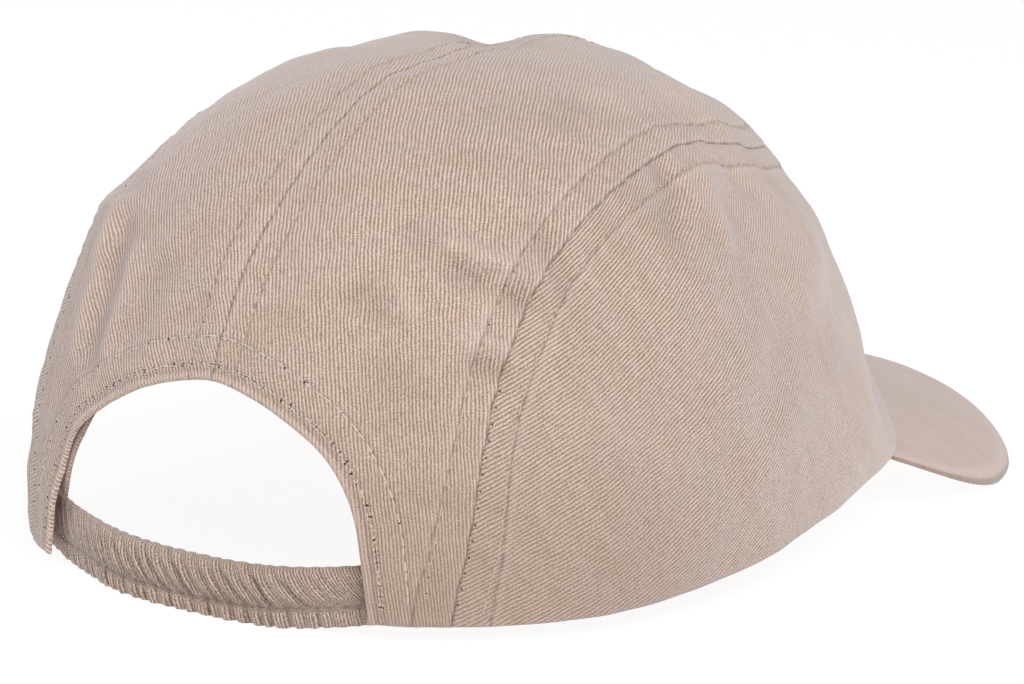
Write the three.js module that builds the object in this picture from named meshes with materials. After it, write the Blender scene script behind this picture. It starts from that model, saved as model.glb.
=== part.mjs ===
// Sports cap of washed cotton twill, resting on a surface.
// Millimetres, +Z up. The peak points to -Y and the wearer's right is -X. The origin lies on the
// surface, under the middle of the whole cap.
import * as THREE from 'three';

// Cloth, board and gaps
const WALL = 1.2;
const FACING_THICKNESS = 1.0;
const PLY_GAP = 0.35;
const PEAK_THICKNESS = 2.8;

// Crown, in its own level frame: rim near z = 0, top over x = y = 0. The soft rim is hitched up on
// the wearer's left, and hangs a little lower at the left foot of the back opening and on the
// right: turn is positive to the wearer's left.
const HALF_WIDTH = 78.0;
const FRONT_REACH = 102.1;
const BACK_REACH = 102.7;
const HEIGHT = 92.6;
const PLAN_SQUARENESS = 2.29;
const PLAN_TAPER = 0.023;
const WALL_SQUARENESS = 2.25;
const TOP_SQUARENESS = { mean: 2.17, ahead: -0.44, twice: -0.14 };
const TOP_TIP = 0.084;
const TOP_SHIFT = 3.3;
const RIM_WAVE = { twice: 1.2, fourTimes: 0.8 };
const RIM_HITCHES = [
  { turn: 96, turnSpread: 22, lift: 7.2 },
  { turn: 114, turnSpread: 12, lift: 4.5 },
  { turn: 154, turnSpread: 8, lift: -0.8 },
  { turn: -88, turnSpread: 42, lift: -1.6 },
];
const BULGE = { mean: -0.007, ahead: 0.027 };

// Swellings of both sides: turn in degrees from the front, rise as a share of the height,
// and the share by which they widen the plan
const SWELLINGS = [
  { turn: 52, turnSpread: 28, rise: 0.0, riseSpread: 0.16, share: 0.043 },
  { turn: 45, turnSpread: 35, rise: 0.35, riseSpread: 0.2, share: -0.029 },
];

// Broad dents of the cloth, with the lift in mm
const DENTS = [
  { turn: 134, turnSpread: 11, rise: 0.62, riseSpread: 0.055, lift: 2.0 },
  { turn: 122, turnSpread: 14, rise: 0.74, riseSpread: 0.06, lift: -0.2 },
  { turn: 122, turnSpread: 16, rise: 0.5, riseSpread: 0.09, lift: -0.6 },
  { turn: 139, turnSpread: 15, rise: 0.33, riseSpread: 0.12, lift: -0.9 },
  { turn: 150, turnSpread: 11, rise: 0.0, riseSpread: 0.07, lift: 1.2 },
  { turn: -14, turnSpread: 20, rise: 0.96, riseSpread: 0.04, lift: 0.8 },
  { turn: 50, turnSpread: 30, rise: 0.97, riseSpread: 0.04, lift: 0.4 },
  { turn: -31, turnSpread: 8, rise: 0.71, riseSpread: 0.05, lift: 0.8 },
  { turn: -38, turnSpread: 12, rise: 0.15, riseSpread: 0.08, lift: -1.5 },
  { turn: -46, turnSpread: 7, rise: 0.0, riseSpread: 0.06, lift: 1.4 },
  { turn: -64, turnSpread: 10, rise: 0.0, riseSpread: 0.08, lift: -1.3 },
  { turn: -128, turnSpread: 9, rise: 0.62, riseSpread: 0.07, lift: -0.9 },
  { turn: -140, turnSpread: 8, rise: 0.5, riseSpread: 0.09, lift: 0.7 },
  { turn: -72, turnSpread: 12, rise: 0.76, riseSpread: 0.05, lift: -0.9 },
  { turn: -100, turnSpread: 24, rise: 0.3, riseSpread: 0.12, lift: 0.6 },
  { turn: 160, turnSpread: 9, rise: 0.6, riseSpread: 0.09, lift: -0.6 },
  { turn: 140, turnSpread: 14, rise: 0.2, riseSpread: 0.18, lift: 0.7 },
  { turn: 134, turnSpread: 8, rise: 0.605, riseSpread: 0.035, lift: -1.2 },
  { turn: 154, turnSpread: 5, rise: 0.0, riseSpread: 0.08, lift: 1.0 },
  { turn: -38, turnSpread: 12, rise: 0.36, riseSpread: 0.12, lift: 0.7 },
  { turn: -31, turnSpread: 8, rise: 0.72, riseSpread: 0.05, lift: -0.3 },
];

// Folds of the cloth, each a ridge or a valley along the line between two places of the crown
const FOLDS = [
  { from: { turn: 4, out: 0.05 }, to: { turn: 27.4, out: 0.244 }, width: 7.2, lift: -3.4 },
  { from: { turn: 66, out: 0.215 }, to: { turn: 104, out: 0.215 }, width: 10.0, lift: 0.9 },
];
const SEAM_SINK = 0.9;
const SEAM_SINK_WIDTH = 0.035;
const SEAM_TRIM = 0.0016;

// Half of the curved seam between the wrap-around front panel and the back panels, from its foot on
// the back rim to the middle of the front: turn as above, out is 0 at the top and 1 at the rim
const SIDE_SEAM = [
  { turn: 149.6, out: 1.0 },
  { turn: 147.8, out: 0.93 },
  { turn: 146.3, out: 0.84 },
  { turn: 144.2, out: 0.743 },
  { turn: 140.4, out: 0.645 },
  { turn: 135.6, out: 0.57 },
  { turn: 126.6, out: 0.492 },
  { turn: 115.0, out: 0.44 },
  { turn: 104.0, out: 0.413 },
  { turn: 87.0, out: 0.397 },
  { turn: 67.8, out: 0.406 },
  { turn: 47.4, out: 0.448 },
  { turn: 31.0, out: 0.469 },
  { turn: 15.5, out: 0.479 },
  { turn: 0.0, out: 0.482 },
];
const SEAM_CORNER_ROW = 4;

// The edge of the back opening on the wearer's left and right, from its feet on the rim to its
// middle: the soft left edge hangs a little further open
const ARCH_EDGE_LEFT = [
  { turn: 156.4, out: 1.0 },
  { turn: 157.4, out: 0.955 },
  { turn: 158.4, out: 0.91 },
  { turn: 160.4, out: 0.87 },
  { turn: 164.2, out: 0.833 },
  { turn: 168.6, out: 0.803 },
  { turn: 174.0, out: 0.776 },
  { turn: 180.0, out: 0.763 },
];
const ARCH_EDGE_RIGHT = [
  { turn: 158.8, out: 1.0 },
  { turn: 159.4, out: 0.955 },
  { turn: 160.2, out: 0.91 },
  { turn: 161.8, out: 0.87 },
  { turn: 164.5, out: 0.833 },
  { turn: 168.6, out: 0.803 },
  { turn: 174.0, out: 0.776 },
  { turn: 180.0, out: 0.763 },
];
const BACK_HALF_SPAN = { arch: 0.45, seam: 1.5 };

// Hem strip behind that edge: it starts and ends above the strap, and shows past the edge low down
// on the wearer's left
const FACING_WIDTH = 0.08;
const FACING_SET_IN = 0.012;
const FACING_PROUD = 0.004;
const FACING_SHOWS = { from: 0.72, to: 0.8 };
const FACING_ENDS = { right: 0.09, left: 0.925 };

// Peak
const PEAK_HALF_TURN = 49;
const PEAK_TIP_REACH = 163;
const PEAK_CORNER_SLANT = 31;
const PEAK_CORNER_PULL = 48.5;
const PEAK_TIP_PULL = 45.5;
const PEAK_ROOT_RISE = 3.0;
const PEAK_SLOPE = 0.33;
const PEAK_BEND_RADIUS = 136;
const PEAK_ROOT_BLEND = 30;
const PEAK_GAP = 0.45;

// Gathered back strap: a tunnel of twill around an elastic, sewn along a line into two channels
const STRAP_HALF_TURN = 26;
const STRAP_TUCK = { from: 9, to: 20, depth: 2.1 };
const STRAP_TOP = { right: 13.2, middle: 9.9, left: 10.8 };
const STRAP_BOTTOM = { right: 0.9, middle: -2.8, left: -2.0 };
const STRAP_SEWN_LINE = 0.36;
const STRAP_THICKNESS = { middle: 4.4, end: 2.6 };
const GATHERS = { count: 25, lean: 6.0, depth: 0.5, edge: 0.3 };

// Rest: the cap tips back until its peak and its strap both touch the surface
const REST_TIP = THREE.MathUtils.degToRad(4.75);
const REST_LIFT = 10.35;
const REST_SHIFT = 30.3;

const BEIGE = 0xc2ac9c;
const BEIGE_SHADED = 0xa8917f;
const CLOTH_ROUGHNESS = 0.92;

const radians = THREE.MathUtils.degToRad;
const hump = (value, middle, spread) => Math.exp(-(((value - middle) / spread) ** 2));
const mix = THREE.MathUtils.lerp;

// Turns a point of the level crown frame into the resting cap's frame; cloth and board stop at z = 0
function rest(point) {
  const { x, y, z } = point;
  const backward = y * Math.cos(REST_TIP) + z * Math.sin(REST_TIP);
  const upward = z * Math.cos(REST_TIP) - y * Math.sin(REST_TIP);
  return new THREE.Vector3(x, backward + REST_SHIFT, Math.max(upward + REST_LIFT, 0));
}

// The place (across, along) in a flat round map of the crown: middle is the top, radius 1 is the rim
function onMap(turn, out) {
  return new THREE.Vector2(out * Math.sin(radians(turn)), -out * Math.cos(radians(turn)));
}

// A smooth line over the map from the right foot to the left one, through two half tables
function wholeLine(rightRows, leftRows) {
  const right = rightRows.slice(0, -1).map(({ turn, out }) => onMap(-turn, out));
  const left = leftRows.map(({ turn, out }) => onMap(turn, out));
  return new THREE.SplineCurve([...right, ...left.reverse()]);
}

const sideSeam = wholeLine(SIDE_SEAM, SIDE_SEAM);
const archEdge = wholeLine(ARCH_EDGE_RIGHT, ARCH_EDGE_LEFT);
const seamCorner = SEAM_CORNER_ROW / (2 * (SIDE_SEAM.length - 1));
const seamSamples = sideSeam.getPoints(160);

// Distance on the map to the nearest seam: the centre seam lies on across = 0, behind the side seam
function seamDistance(place) {
  const nearest = Math.min(...seamSamples.map((p) => p.distanceTo(place)));
  const onTop = place.y > -SIDE_SEAM[SIDE_SEAM.length - 1].out;
  return onTop ? Math.min(nearest, Math.abs(place.x)) : nearest;
}

// The smooth crown: a dome whose plan is a superellipse and whose walls follow a squared quarter arc
function smoothCrown(place) {
  const out = Math.min(place.length(), 1);
  const turn = Math.atan2(place.x, -place.y);
  const across = Math.sin(turn);
  const ahead = Math.cos(turn);
  const reach = ahead > 0 ? FRONT_REACH : BACK_REACH;
  const n = PLAN_SQUARENESS;
  const round = (Math.abs(across / HALF_WIDTH) ** n + Math.abs(ahead / reach) ** n) ** (-1 / n);
  const plan = round * (1 + PLAN_TAPER * (Math.cos(3 * turn) - ahead));
  const fall = (out * Math.PI) / 2;
  const level = Math.max(Math.cos(fall), 0);
  const { mean, ahead: byFront, twice } = TOP_SQUARENESS;
  const rise = level ** (2 / (mean + byFront * ahead + twice * Math.cos(2 * turn)));
  let swell = 1 + (BULGE.mean + BULGE.ahead * ahead) * Math.sin(2 * fall) ** 2;
  for (const s of SWELLINGS) {
    const around = hump(Math.abs(turn), radians(s.turn), radians(s.turnSpread));
    swell += s.share * around * hump(rise, s.rise, s.riseSpread);
  }
  const spread = Math.sin(fall) ** (2 / WALL_SQUARENESS) * swell;
  let wave = RIM_WAVE.twice * Math.cos(2 * turn) + RIM_WAVE.fourTimes * Math.cos(4 * turn);
  for (const h of RIM_HITCHES) {
    wave += h.lift * hump(turn, radians(h.turn), radians(h.turnSpread));
  }
  return {
    turn,
    rise,
    point: new THREE.Vector3(
      plan * across * spread,
      -plan * ahead * spread + TOP_SHIFT * (1 - spread),
      HEIGHT * rise * (1 + TOP_TIP * place.y) + wave * (1 - level) ** 2,
    ),
  };
}

const foldLines = FOLDS.map(({ from, to }) => {
  const ends = [from, to].map(({ turn, out }) => smoothCrown(onMap(turn, out)).point);
  return new THREE.Line3(...ends);
});

// The crown's outer face: the smooth crown with its dents and folds, and sunk a little along the
// seams
function crownFace(place) {
  const { turn, rise, point } = smoothCrown(place);
  let lift = -SEAM_SINK * hump(seamDistance(place), 0, SEAM_SINK_WIDTH) * Math.min(1, 3 * rise);
  for (const d of DENTS) {
    const around = hump(turn, radians(d.turn), radians(d.turnSpread));
    lift += d.lift * around * hump(rise, d.rise, d.riseSpread);
  }
  FOLDS.forEach((fold, k) => {
    const nearest = foldLines[k].closestPointToPoint(point, true, new THREE.Vector3());
    lift += fold.lift * hump(nearest.distanceTo(point), 0, fold.width);
  });
  const outward = new THREE.Vector3(point.x, point.y, Math.max(point.z, 0) * 0.8).normalize();
  return point.addScaledVector(outward, lift);
}

// The face at a depth inside the outer one, measured square to the smooth crown
function crownWall(place, depth) {
  const step = 0.002;
  const at = (dx, dy) => smoothCrown(new THREE.Vector2(place.x + dx, place.y + dy)).point;
  const acrossStep = at(step, 0).sub(at(-step, 0));
  const alongStep = at(0, step).sub(at(0, -step));
  const outward = acrossStep.cross(alongStep).normalize();
  return crownFace(place).addScaledVector(outward, -depth);
}

// A closed body from loose vertices and faces, with its faces turned outward
function closedBody(points, faces) {
  const volume = faces.reduce((sum, [a, b, c]) => {
    const cross = new THREE.Vector3().crossVectors(points[b], points[c]);
    return sum + points[a].dot(cross);
  }, 0);
  const turned = volume < 0 ? faces.map(([a, b, c]) => [a, c, b]) : faces;
  const geometry = new THREE.BufferGeometry().setFromPoints(points);
  geometry.setIndex(turned.flat());
  geometry.computeVertexNormals();
  return geometry;
}

// A sheet with thickness: front(s, w) and back(s, w) give its two faces over the unit square
function sheetBody(front, back, columns, rows) {
  const points = [];
  const faces = [];
  const layer = (columns + 1) * (rows + 1);
  const at = (i, j) => i * (rows + 1) + j;
  for (const side of [front, back]) {
    for (let i = 0; i <= columns; i += 1) {
      for (let j = 0; j <= rows; j += 1) {
        points.push(rest(side(i / columns, j / rows)));
      }
    }
  }
  const quad = (a, b, c, d) => faces.push([a, b, c], [a, c, d]);
  for (let i = 0; i < columns; i += 1) {
    for (let j = 0; j < rows; j += 1) {
      const [a, b, c, d] = [at(i, j), at(i + 1, j), at(i + 1, j + 1), at(i, j + 1)];
      quad(a, b, c, d);
      quad(d + layer, c + layer, b + layer, a + layer);
    }
    quad(at(i, 0), at(i, 0) + layer, at(i + 1, 0) + layer, at(i + 1, 0));
    quad(at(i + 1, rows), at(i + 1, rows) + layer, at(i, rows) + layer, at(i, rows));
  }
  for (let j = 0; j < rows; j += 1) {
    quad(at(0, j + 1), at(0, j + 1) + layer, at(0, j) + layer, at(0, j));
    quad(at(columns, j), at(columns, j) + layer, at(columns, j + 1) + layer, at(columns, j + 1));
  }
  return closedBody(points, faces);
}

// A patch of the map between four lines that meet at its corners (a Coons patch)
function patch({ bottom, top, left, right }) {
  return (s, w) => {
    const sum = new THREE.Vector2();
    sum.addScaledVector(bottom(s), 1 - w).addScaledVector(top(s), w);
    sum.addScaledVector(left(w), 1 - s).addScaledVector(right(w), s);
    sum.addScaledVector(bottom(0), -(1 - s) * (1 - w)).addScaledVector(bottom(1), -s * (1 - w));
    return sum.addScaledVector(top(0), -(1 - s) * w).addScaledVector(top(1), -s * w);
  };
}

// A cloth panel over a patch of the map
function panelBody(places, columns, rows) {
  const front = (s, w) => crownFace(places(s, w));
  const back = (s, w) => crownWall(places(s, w), WALL);
  return sheetBody(front, back, columns, rows);
}

// A point at a share of the side seam, moved by SEAM_TRIM to the front panel's or the top's side
function besideSeam(share, towardFront) {
  const along = sideSeam.getTangent(share);
  const apart = new THREE.Vector2(along.y, -along.x).multiplyScalar(towardFront * SEAM_TRIM);
  return sideSeam.getPoint(share).add(apart);
}

function frontPanel() {
  const foot = besideSeam(1, 1);
  const footTurn = THREE.MathUtils.radToDeg(Math.atan2(foot.x, -foot.y));
  const places = patch({
    bottom: (s) => onMap(mix(-footTurn, footTurn, s), foot.length()),
    top: (s) => besideSeam(mix(seamCorner, 1 - seamCorner, s), 1),
    left: (w) => besideSeam(mix(0, seamCorner, w), 1),
    right: (w) => besideSeam(mix(1, 1 - seamCorner, w), 1),
  });
  return panelBody(places, 56, 12);
}

// An upper back panel, laid out on the wearer's left and mirrored to its own side: 1 left, -1 right
function backPanel(side) {
  const mirror = (p) => new THREE.Vector2(p.x * side, p.y);
  const archRows = side > 0 ? ARCH_EDGE_LEFT : ARCH_EDGE_RIGHT;
  const [archFoot, archTop] = [archRows[0], archRows[archRows.length - 1]];
  const seamEnd = besideSeam(0.5, -1);
  const foot = besideSeam(1, -1);
  const footTurn = THREE.MathUtils.radToDeg(Math.atan2(foot.x, -foot.y));
  const places = patch({
    bottom: (s) => mirror(archEdge.getPoint(mix(0.5, side > 0 ? 1 : 0, s))),
    top: (s) => besideSeam(mix(0.5, 1, s), -1),
    left: (w) => new THREE.Vector2(0, mix(archTop.out, seamEnd.y, w)),
    right: (w) => onMap(mix(archFoot.turn, footTurn, w), mix(1, foot.length(), w)),
  });
  const offCentre = (s, w) => mix(SEAM_TRIM / mix(BACK_HALF_SPAN.arch, BACK_HALF_SPAN.seam, w), 1, s);
  return panelBody((s, w) => mirror(places(offCentre(s, w), w)), 18, 22);
}

// The hem strip behind the edge of the back opening, above the strap
function archFacing() {
  const place = (s, w) => {
    const at = mix(FACING_ENDS.right, FACING_ENDS.left, s);
    const along = archEdge.getTangent(at);
    const shows = THREE.MathUtils.smoothstep(at, FACING_SHOWS.from, FACING_SHOWS.to);
    const offset = mix(mix(FACING_SET_IN, -FACING_PROUD, shows), FACING_WIDTH, w);
    return archEdge.getPoint(at).add(new THREE.Vector2(along.y, -along.x).multiplyScalar(offset));
  };
  const front = (s, w) => crownWall(place(s, w), WALL + PLY_GAP);
  const back = (s, w) => crownWall(place(s, w), WALL + PLY_GAP + FACING_THICKNESS);
  return sheetBody(front, back, 36, 2);
}

// The peak's top face: ruled from the crown's rim to an outline of two mirrored Bezier arcs, sloping
// down ahead and bent down to both sides
function peakFace(s, w) {
  const across = mix(-1, 1, s);
  const side = Math.sign(across);
  const rim = crownWall(onMap(across * PEAK_HALF_TURN, 1), WALL);
  const corner = smoothCrown(onMap(PEAK_HALF_TURN, 1)).point;
  const slant = radians(PEAK_CORNER_SLANT);
  const outline = new THREE.CubicBezierCurve(
    new THREE.Vector2(corner.x, corner.y),
    new THREE.Vector2(
      corner.x + PEAK_CORNER_PULL * Math.sin(slant),
      corner.y - PEAK_CORNER_PULL * Math.cos(slant),
    ),
    new THREE.Vector2(PEAK_TIP_PULL, -PEAK_TIP_REACH),
    new THREE.Vector2(0, -PEAK_TIP_REACH),
  ).getPoint(1 - Math.abs(across));
  const x = mix(rim.x, outline.x * side, w);
  const y = mix(rim.y, outline.y, w);
  const slope = (px, py) =>
    PEAK_ROOT_RISE - PEAK_SLOPE * (-py - FRONT_REACH) - px ** 2 / (2 * PEAK_BEND_RADIUS);
  const meetRim = rim.z - PEAK_GAP - slope(rim.x, rim.y);
  const fromRim = Math.hypot(x - rim.x, y - rim.y);
  return new THREE.Vector3(x, y, slope(x, y) + meetRim * hump(fromRim, 0, PEAK_ROOT_BLEND));
}

function peak() {
  const edgeRound = 0.3;
  const squash = (w) => edgeRound * PEAK_THICKNESS * Math.max(0, w * 10 - 9);
  const lower = (point, depth) => point.add(new THREE.Vector3(0, 0, -depth));
  const front = (s, w) => lower(peakFace(s, w), squash(w));
  const back = (s, w) => lower(peakFace(s, w), PEAK_THICKNESS - squash(w));
  return sheetBody(front, back, 32, 10);
}

// The strap's section at a share s of its length, which runs from the wearer's right to the left: a
// closed ring of two puffed channels. The gathers lean, with their upper ends further left.
function strapRing(s) {
  const turnFromBack = mix(-STRAP_HALF_TURN, STRAP_HALF_TURN, s);
  const toEnd = (turnFromBack / STRAP_HALF_TURN) ** 2;
  const tuck = THREE.MathUtils.smoothstep(Math.abs(turnFromBack), STRAP_TUCK.from, STRAP_TUCK.to);
  const rim = smoothCrown(onMap(180 - turnFromBack, 1)).point;
  const inward = new THREE.Vector3(-rim.x, -rim.y, 0).normalize();
  const outer = rim.clone().addScaledVector(inward, tuck * STRAP_TUCK.depth);
  const thickness = mix(STRAP_THICKNESS.middle, STRAP_THICKNESS.end, tuck);
  const phase = 2 * Math.PI * GATHERS.count * s;
  const end = turnFromBack < 0 ? 'right' : 'left';
  const ring = [];
  const corners = 14;
  for (let k = 0; k < corners; k += 1) {
    const angle = (2 * Math.PI * k) / corners;
    const high = 0.5 + 0.5 * Math.sin(angle);
    const groove = 0.35 * hump(high, STRAP_SEWN_LINE, 0.12);
    const ripple = Math.sin(phase - GATHERS.lean * high) + 0.4 * Math.sin(0.57 * phase - 1.3);
    const gather = ripple * (1 - 0.8 * tuck);
    const half = 0.5 * Math.sign(Math.cos(angle)) * Math.abs(Math.cos(angle)) ** 0.6;
    const depth = 0.5 - half * (1 - groove);
    const top = mix(STRAP_TOP.middle, STRAP_TOP[end], toEnd) + gather * GATHERS.edge;
    const bottom = mix(STRAP_BOTTOM.middle, STRAP_BOTTOM[end], toEnd) - gather * GATHERS.edge;
    const swell = gather * GATHERS.depth * Math.cos(angle);
    const point = outer.clone().addScaledVector(inward, depth * thickness - swell);
    ring.push(rest(point.setZ(mix(bottom, top, high))));
  }
  return ring;
}

function backStrap() {
  const sections = 112;
  const rings = Array.from({ length: sections + 1 }, (_, i) => strapRing(i / sections));
  const size = rings[0].length;
  const points = rings.flat();
  const faces = [];
  for (let i = 0; i < sections; i += 1) {
    for (let k = 0; k < size; k += 1) {
      const [a, b] = [i * size + k, i * size + ((k + 1) % size)];
      faces.push([a, b, b + size], [a, b + size, a + size]);
    }
  }
  for (const [ring, first, flip] of [[rings[0], 0, true], [rings[sections], sections * size, false]]) {
    const middle = points.length;
    points.push(ring.reduce((sum, p) => sum.add(p), new THREE.Vector3()).divideScalar(size));
    for (let k = 0; k < size; k += 1) {
      const [a, b] = [first + k, first + ((k + 1) % size)];
      faces.push(flip ? [a, middle, b] : [a, b, middle]);
    }
  }
  return closedBody(points, faces);
}

function twill(color) {
  return new THREE.MeshStandardMaterial({ color, roughness: CLOTH_ROUGHNESS, metalness: 0 });
}

function named(name, geometry, color = BEIGE) {
  const mesh = new THREE.Mesh(geometry, twill(color));
  mesh.name = name;
  return mesh;
}

const cap = new THREE.Group();
cap.add(named('front_panel', frontPanel()));
cap.add(named('back_panel_left', backPanel(1)));
cap.add(named('back_panel_right', backPanel(-1)));
cap.add(named('peak', peak()));
cap.add(named('back_strap', backStrap(), BEIGE_SHADED));
cap.add(named('arch_facing', archFacing(), BEIGE_SHADED));

export default cap;
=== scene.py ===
"""A sports cap of washed cotton twill, resting on a pale floor and seen from behind.

Metres, +Z up. The peak points to -Y and the wearer's right is -X. The crown is worked out in its
own level frame, over a flat round map of it, and then tipped back until it rests.
"""

import math

import bpy
import numpy as np
from mathutils import Matrix, Vector


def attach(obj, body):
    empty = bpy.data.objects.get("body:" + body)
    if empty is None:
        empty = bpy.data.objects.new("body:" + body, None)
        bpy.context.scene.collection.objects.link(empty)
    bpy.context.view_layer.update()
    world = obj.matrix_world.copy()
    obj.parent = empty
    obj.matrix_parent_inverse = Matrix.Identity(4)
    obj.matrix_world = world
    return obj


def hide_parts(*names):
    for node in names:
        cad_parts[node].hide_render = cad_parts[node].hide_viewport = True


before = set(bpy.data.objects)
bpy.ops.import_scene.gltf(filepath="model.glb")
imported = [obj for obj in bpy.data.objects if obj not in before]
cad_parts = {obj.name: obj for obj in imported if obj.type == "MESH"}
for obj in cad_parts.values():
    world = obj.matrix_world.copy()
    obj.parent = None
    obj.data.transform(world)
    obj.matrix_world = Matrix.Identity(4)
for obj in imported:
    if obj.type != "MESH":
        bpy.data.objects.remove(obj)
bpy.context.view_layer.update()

# Cloth, board and gaps
WALL = 0.0012
FACING_THICKNESS = 0.0010
PLY_GAP = 0.00015
PEAK_THICKNESS = 0.0028

# Crown in its level frame: rim near z = 0, top over x = y = 0
HALF_WIDTH = 0.0780
FRONT_REACH = 0.1021
BACK_REACH = 0.1027
HEIGHT = 0.0926
PLAN_SQUARENESS = 2.29
PLAN_TAPER = 0.023
WALL_SQUARENESS = 2.25
TOP_SQUARENESS = {"mean": 2.17, "ahead": -0.44, "twice": -0.14}
TOP_TIP = 0.084
TOP_SHIFT = 0.0033
RIM_WAVE = {"twice": 0.0012, "four_times": 0.0008}
BULGE = {"mean": -0.007, "ahead": 0.027}

# Places on the crown have a turn in degrees from the front, positive to the wearer's left, and
# either a rise, as a share of the height, or an out on the map, 0 at the top and 1 at the rim

# Lifts of the rim: turn, spread, lift
RIM_HITCHES = ((96, 22, 0.0072), (114, 12, 0.0045), (154, 8, -0.0008), (-88, 42, -0.0016))

# Swellings of both sides: turn, spread, rise, spread, share by which they widen the plan
SWELLINGS = ((52, 28, 0.0, 0.16, 0.043), (45, 35, 0.35, 0.20, -0.029))

# Broad dents: turn, spread, rise, spread, lift
DENTS = (
    (134, 11, 0.62, 0.055, 0.0020),
    (122, 14, 0.74, 0.060, -0.0002),
    (122, 16, 0.50, 0.090, -0.0006),
    (139, 15, 0.33, 0.120, -0.0009),
    (150, 11, 0.00, 0.070, 0.0012),
    (-14, 20, 0.96, 0.040, 0.0008),
    (50, 30, 0.97, 0.040, 0.0004),
    (-31, 8, 0.71, 0.050, 0.0008),
    (-38, 12, 0.15, 0.080, -0.0015),
    (-46, 7, 0.00, 0.060, 0.0014),
    (-64, 10, 0.00, 0.080, -0.0013),
    (-128, 9, 0.62, 0.070, -0.0009),
    (-140, 8, 0.50, 0.090, 0.0007),
    (-72, 12, 0.76, 0.050, -0.0009),
    (-100, 24, 0.30, 0.120, 0.0006),
    (160, 9, 0.60, 0.090, -0.0006),
    (140, 14, 0.20, 0.180, 0.0007),
    (134, 8, 0.605, 0.035, -0.0012),
    (154, 5, 0.00, 0.080, 0.0010),
    (-38, 12, 0.36, 0.120, 0.0007),
    (-31, 8, 0.72, 0.050, -0.0007),
)
DENT_AWAY = (1.0, 1.0, 0.8)

# Soft folds of the cloth: the width and lift of each ridge or valley, and the places (turn, out)
# that its curve runs through
FOLDS = (
    (0.0072, -0.0034, (4.0, 0.050), (27.4, 0.244)),
    (0.0100, 0.0009, (66.0, 0.215), (104.0, 0.215)),
    (0.0070, 0.0007, (-14.0, 0.240), (-9.0, 0.190)),
    (0.0040, 0.0012, (145.5, 0.584), (153.5, 0.768)),
    (0.0042, -0.0013, (151.5, 0.600), (157.5, 0.760)),
    (0.0034, 0.0011, (157.9, 0.620), (161.3, 0.754)),
    (0.0045, -0.0007, (165.0, 0.640), (167.0, 0.740)),
    (0.0045, 0.0009, (-71.5, 0.390), (-78.0, 0.480)),
    (0.0050, -0.0007, (-51.8, 0.440), (-56.0, 0.520)),
    (0.0036, -0.0013, (-98.0, 0.430), (-108.0, 0.540)),
    (0.0034, 0.0013, (-88.0, 0.470), (-94.0, 0.580)),
    (0.0036, -0.0013, (-136.0, 0.500), (-133.0, 0.600)),
    (0.0032, 0.0009, (-143.0, 0.580), (-147.0, 0.660)),
    (0.0028, 0.0018, (-150.5, 0.530), (-146.0, 0.552), (-143.0, 0.566), (-139.5, 0.592)),
    (0.0024, -0.0018, (-149.0, 0.566), (-146.0, 0.582), (-143.0, 0.595), (-139.8, 0.622)),
    (0.0026, 0.0013, (-147.5, 0.683), (-145.2, 0.688), (-143.2, 0.695)),
    (0.0022, -0.0014, (-146.8, 0.709), (-145.0, 0.715), (-143.8, 0.718)),
    (0.0035, -0.0012, (-156.5, 0.495), (-153.0, 0.531), (-150.5, 0.548)),
    (0.0026, 0.0010, (-157.6, 0.590), (-156.2, 0.614), (-155.0, 0.641)),
    (0.0026, 0.0010, (-162.8, 0.654), (-161.2, 0.664), (-160.2, 0.683)),
    (0.0030, -0.0010, (-162.2, 0.612), (-160.2, 0.636)),
    (0.0060, 0.0006, (-97.0, 0.270), (-57.0, 0.300)),
    (0.0042, -0.0007, (-92.0, 0.330), (-60.0, 0.370)),
    (0.0055, -0.0008, (-121.0, 0.280), (-108.0, 0.250)),
    (0.0022, 0.0007, (-94.2, 0.246), (-90.8, 0.325), (-85.0, 0.396), (-83.0, 0.469)),
    (0.0026, 0.0005, (-54.5, 0.268), (-54.7, 0.320), (-55.2, 0.375)),
    (0.0024, 0.0009, (-94.2, 0.420), (-95.8, 0.482), (-97.0, 0.524)),
    (0.0070, -0.0006, (-162.0, 0.640), (-156.0, 0.740)),
    (0.0080, 0.0007, (-132.0, 0.790), (-118.0, 0.860)),
    (0.0080, -0.0008, (-84.0, 0.760), (-58.0, 0.820)),
    (0.0070, 0.0009, (-37.0, 0.268), (-39.0, 0.285), (-39.5, 0.310)),
    (0.0065, -0.0007, (-34.0, 0.495), (-38.0, 0.505)),
)
FOLD_SAMPLES = 21

# Small undulations of the cloth: wavelength, height, number of waves
RUMPLES = ((0.042, 0.00022, 5), (0.019, 0.00013, 7), (0.0085, 0.00005, 9))
CLOTH_SEED = 11

# Half of the seam between the wrap-around front panel and the back panels, as places (turn, out)
# from its foot on the back rim to the middle of the front. The panels' top corners lie at one row
SIDE_SEAM = (
    (149.6, 1.000),
    (147.8, 0.930),
    (146.3, 0.840),
    (144.2, 0.743),
    (140.4, 0.645),
    (135.6, 0.570),
    (126.6, 0.492),
    (115.0, 0.440),
    (104.0, 0.413),
    (87.0, 0.397),
    (67.8, 0.406),
    (47.4, 0.448),
    (31.0, 0.469),
    (15.5, 0.479),
    (0.0, 0.482),
)
SEAM_CORNER_ROW = 4
SEAM_SAMPLES = 700

# The edge of the back opening, from its feet on the rim to its middle: the soft edge on the
# wearer's left hangs a little further open
ARCH_TOP = ((168.6, 0.803), (174.0, 0.776), (180.0, 0.763))
ARCH_EDGE_LEFT = ((156.4, 1.0), (157.4, 0.955), (158.4, 0.91), (160.4, 0.87), (164.2, 0.833), *ARCH_TOP)
ARCH_EDGE_RIGHT = ((158.8, 1.0), (159.4, 0.955), (160.2, 0.91), (161.8, 0.87), (164.5, 0.833), *ARCH_TOP)

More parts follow.
